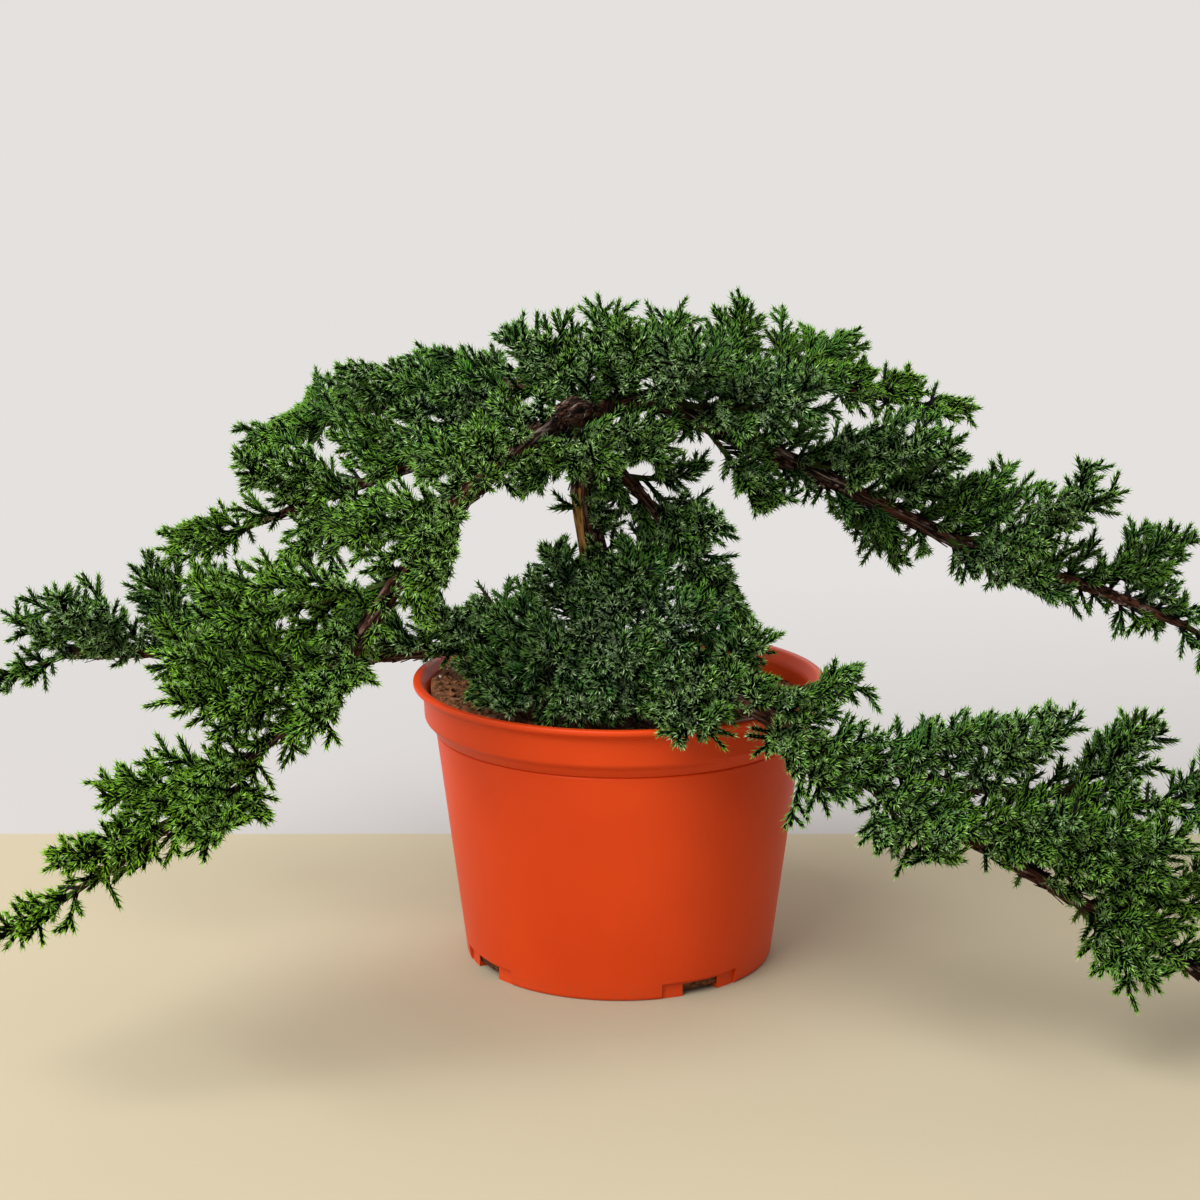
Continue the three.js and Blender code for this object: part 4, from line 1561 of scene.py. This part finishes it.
@dataclass
class Wood:
    """The trunk and limbs, grown as one, with shaggy bark.

    A limb's surface has ridges and broader bulges, each a width and a share of its radius. The
    burr swells the wood by a share of its radius and is frayed over the front limb's first part.
    Strips and shreds of bark are a thickness, and the least and greatest width and length in
    millimetres. The trunk is peeled on its left between two heights.
    """

    ring_step: float = 2.2 * MM
    sides: int = 18
    ridge: tuple[float, float] = (1.7 * MM, 0.2)
    bulge: tuple[float, float] = (6 * MM, 0.1)
    burr: tuple[float, float, float] = (-19 * MM, -17 * MM, 222 * MM)
    burr_size: float = 13 * MM
    burr_swell: float = 0.45
    strip_step: float = 1.0 * MM
    strip_depth: float = 0.28 * MM
    strip_width: tuple[float, float] = (0.5, 1.3)
    strip_length: tuple[float, float] = (5, 14)
    shreds: int = 160
    shred_span: float = 0.13
    shred_depth: float = 0.3 * MM
    shred_width: tuple[float, float] = (0.3, 0.7)
    shred_length: tuple[float, float] = (2.5, 6)
    peeled: tuple[float, float] = (156 * MM, 192 * MM)
    peeled_side: tuple[float, float, float] = (-0.9, -0.43, 0)

    def swell(self, spot: Vector) -> float:
        """How much thicker the wood is at a point, near the burr where the front limb bends."""
        near = max(0.0, 1 - (spot - Vector(self.burr)).length / self.burr_size)
        return 1 + self.burr_swell * near

    def worn(self, limb: Limb, spot: Vector, outward: Vector) -> float:
        """How far the bark has peeled off the trunk's left side, from 0 to 1."""
        low, high = self.peeled
        if limb is not LIMBS[0] or not low < spot.z < high:
            return 0.0
        return min(max(outward.dot(Vector(self.peeled_side)) * 1.6 - 0.6, 0), 0.6)

    def tube(self, bm: bmesh.types.BMesh, limb: Limb) -> None:
        """Adds one limb: a flat grid rolled round the limb's path, with ridged bark.

        Args:
            bm: The mesh to add it to.
            limb: The limb.
        """
        grain = bm.verts.layers.float_vector[GRAIN]
        peel = bm.verts.layers.float[PEEL]
        path = limb.path()
        steps = max(int(path.length / self.ring_step), 6)
        made = bmesh.ops.create_grid(bm, x_segments=self.sides, y_segments=steps, size=0.5)
        frames = list(path.frames([i / steps for i in range(steps + 1)]))
        shift = 0.1 * LIMBS.index(limb)
        fine, fine_share = self.ridge
        broad, broad_share = self.bulge
        for vert in made["verts"]:
            turn = (vert.co.x + 0.5) * math.tau
            ring = round((vert.co.y + 0.5) * steps)
            along = ring / steps
            girth = limb.girth(along)
            round_spot = Vector((math.cos(turn), math.sin(turn), 0))
            fibre = round_spot * girth + UP * (along * path.length / 9 + shift)
            rough = 1 + fine_share * noise.noise(fibre / fine)
            rough += broad_share * noise.noise(fibre / broad + UP * 5)
            vert[grain] = fibre
            rough *= self.swell(frames[ring].translation)
            vert.co = frames[ring] @ (round_spot * girth * rough)
            outward = (vert.co - frames[ring].translation).normalized()
            vert[peel] = self.worn(limb, vert.co, outward)
        bmesh.ops.remove_doubles(bm, verts=made["verts"], dist=0.001 * MM)

    def strips(self, bm: bmesh.types.BMesh, limb: Limb, seed: int) -> None:
        """Adds the strips of bark that peel along a limb.

        Args:
            bm: The mesh to add them to.
            limb: The limb.
            seed: Of the random draws.
        """
        grain = bm.verts.layers.float_vector[GRAIN]
        draws = random.Random(seed)
        path = limb.path()
        number = int(path.length / self.strip_step * limb.girth(0) / (4 * MM))
        shares = sorted(draws.uniform(0.02, 0.97) for _ in range(number))
        for share, place in zip(shares, path.frames(shares)):
            length = draws.uniform(*self.strip_length) * MM
            width = draws.uniform(*self.strip_width) * MM
            size = Matrix.Diagonal((self.strip_depth, width, length, 1))
            girth = limb.girth(share) * self.swell(place.translation)
            lift = Matrix.Translation((girth * 1.03, 0, 0))
            loose = Matrix.Rotation(draws.uniform(-0.25, 0.25), 4, "Y")
            turn = Matrix.Rotation(draws.uniform(0, math.tau), 4, "Z")
            spot = place @ turn @ lift
            outward = (spot.translation - place.translation).normalized()
            if self.worn(limb, spot.translation, outward):
                continue
            made = bmesh.ops.create_cube(bm, size=1, matrix=spot @ loose @ size)
            shift = Vector((draws.random(), draws.random(), draws.random()))
            for vert in made["verts"]:
                vert[grain] = (place.inverted() @ vert.co) * 0.3 + shift
                vert.co += noise.noise_vector(vert.co / (4 * MM) + shift) * 0.5 * MM

    def frayed(self, bm: bmesh.types.BMesh) -> None:
        """Adds the short shreds of bark that stand up all over the burr.

        Args:
            bm: The mesh to add them to.
        """
        grain = bm.verts.layers.float_vector[GRAIN]
        draws = random.Random(41)
        limb = LIMBS[1]
        path = limb.path()
        shares = sorted(draws.uniform(0.0, self.shred_span) for _ in range(self.shreds))
        for share, place in zip(shares, path.frames(shares)):
            width = draws.uniform(*self.shred_width) * MM
            length = draws.uniform(*self.shred_length) * MM
            size = Matrix.Diagonal((self.shred_depth, width, length, 1))
            girth = limb.girth(share) * self.swell(place.translation)
            turn = Matrix.Rotation(draws.uniform(0, math.tau), 4, "Z")
            skew = Matrix.Rotation(draws.uniform(-0.5, 0.5), 4, "X")
            loose = Matrix.Rotation(draws.uniform(-0.45, 0.45), 4, "Y")
            lift = Matrix.Translation((girth * 1.06, 0, 0))
            spot = place @ turn @ lift @ skew @ loose
            made = bmesh.ops.create_cube(bm, size=1, matrix=spot @ size)
            for vert in made["verts"]:
                vert[grain] = vert.co * 2.3 + Vector((share, 0, 0))

    def build(self) -> bpy.types.Object:
        """Makes the wood.

        Returns:
            The piece.
        """
        bm = bmesh.new()
        bm.verts.layers.float_vector.new(GRAIN)
        bm.verts.layers.float.new(PEEL)
        for limb in LIMBS:
            self.tube(bm, limb)
        rims = [edge for edge in bm.edges if edge.is_boundary]
        bmesh.ops.holes_fill(bm, edges=rims, sides=0)
        bmesh.ops.recalc_face_normals(bm, faces=bm.faces[:])
        for face in bm.faces:
            face.smooth = True
        for order, limb in enumerate(LIMBS):
            self.strips(bm, limb, order)
        self.frayed(bm)
        return dressed("bark", bm, [BARK], ["trunk"])


# Studio


@dataclass(frozen=True)
class Lamp:
    """One soft square lamp: where it hangs, its side in metres and its power in watts."""

    name: str
    spot: tuple[float, float, float]
    size: float
    power: float

    def hang(self, target: Vector) -> None:
        """Hangs the lamp so that it faces a target."""
        data = bpy.data.lights.new(self.name, "AREA")
        data.size = self.size
        data.energy = self.power
        hung = bpy.data.objects.new(self.name, data)
        hung.location = self.spot
        aim = target - Vector(self.spot)
        hung.rotation_euler = aim.to_track_quat("-Z", "Y").to_euler()
        bpy.context.scene.collection.objects.link(hung)


@dataclass
class Studio:
    """A pale floor that rises far behind the pot, soft light from the upper left and the camera."""

    spot: tuple[float, float, float] = (-7.8 * MM, -0.972, 0.365)
    tilt: float = 12.75
    lens: float = 75.2
    sensor: float = 36.0
    floor_size: float = 8.0
    wall_height: float = 3.0
    lamps: tuple[Lamp, ...] = (Lamp("key", (-1.3, -1.1, 1.8), 2.2, 112),
                               Lamp("back", (0.5, 1.6, 1.6), 1.6, 12))
    target: tuple[float, float, float] = (0, 0, 0.14)
    room_light: float = 0.84

    def camera(self) -> None:
        """Sets the camera a metre in front of the tree, looking slightly down."""
        data = bpy.data.cameras.new("camera")
        data.lens = self.lens
        data.sensor_width = self.sensor
        data.dof.use_dof = False
        seen = bpy.data.objects.new("camera", data)
        seen.location = self.spot
        seen.rotation_euler = (math.radians(90 - self.tilt), 0, 0)
        bpy.context.scene.collection.objects.link(seen)
        bpy.context.scene.camera = seen

    def floor(self) -> None:
        """Lays the paper that the pot stands on and lifts its back edge."""
        bm = bmesh.new()
        bmesh.ops.create_grid(bm, x_segments=1, y_segments=1, size=self.floor_size / 2)
        back = [edge for edge in bm.edges if all(vert.co.y > 0 for vert in edge.verts)]
        lifted = bmesh.ops.extrude_edge_only(bm, edges=back)["geom"]
        raised = [part for part in lifted if isinstance(part, bmesh.types.BMVert)]
        bmesh.ops.translate(bm, verts=raised, vec=UP * self.wall_height)
        mesh = bpy.data.meshes.new("floor")
        bm.to_mesh(mesh)
        bm.free()
        mesh.materials.append(PAPER.made())
        laid = bpy.data.objects.new("floor", mesh)
        bpy.context.scene.collection.objects.link(laid)

    def build(self) -> None:
        """Sets up the studio."""
        self.camera()
        self.floor()
        for lamp in self.lamps:
            lamp.hang(Vector(self.target))
        world = bpy.data.worlds.new("room")
        world.use_nodes = True
        sky = world.node_tree.nodes["Background"]
        sky.inputs["Color"].default_value = linear(PAPER.room)
        sky.inputs["Strength"].default_value = self.room_light
        bpy.context.scene.world = world
        bpy.context.scene.view_settings.view_transform = "Standard"


def main() -> None:
    """Builds the tree, its pot and the studio."""
    logging.basicConfig(level=logging.INFO, format="%(message)s")
    noise.seed_set(NOISE_SEED)
    Studio().build()
    pot = Pot()
    pot.build()
    soil = Soil(pot)
    soil.build()
    Wood().build()
    Foliage(pot, soil, Stamps()).build()
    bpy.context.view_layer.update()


if __name__ == "__main__":
    main()
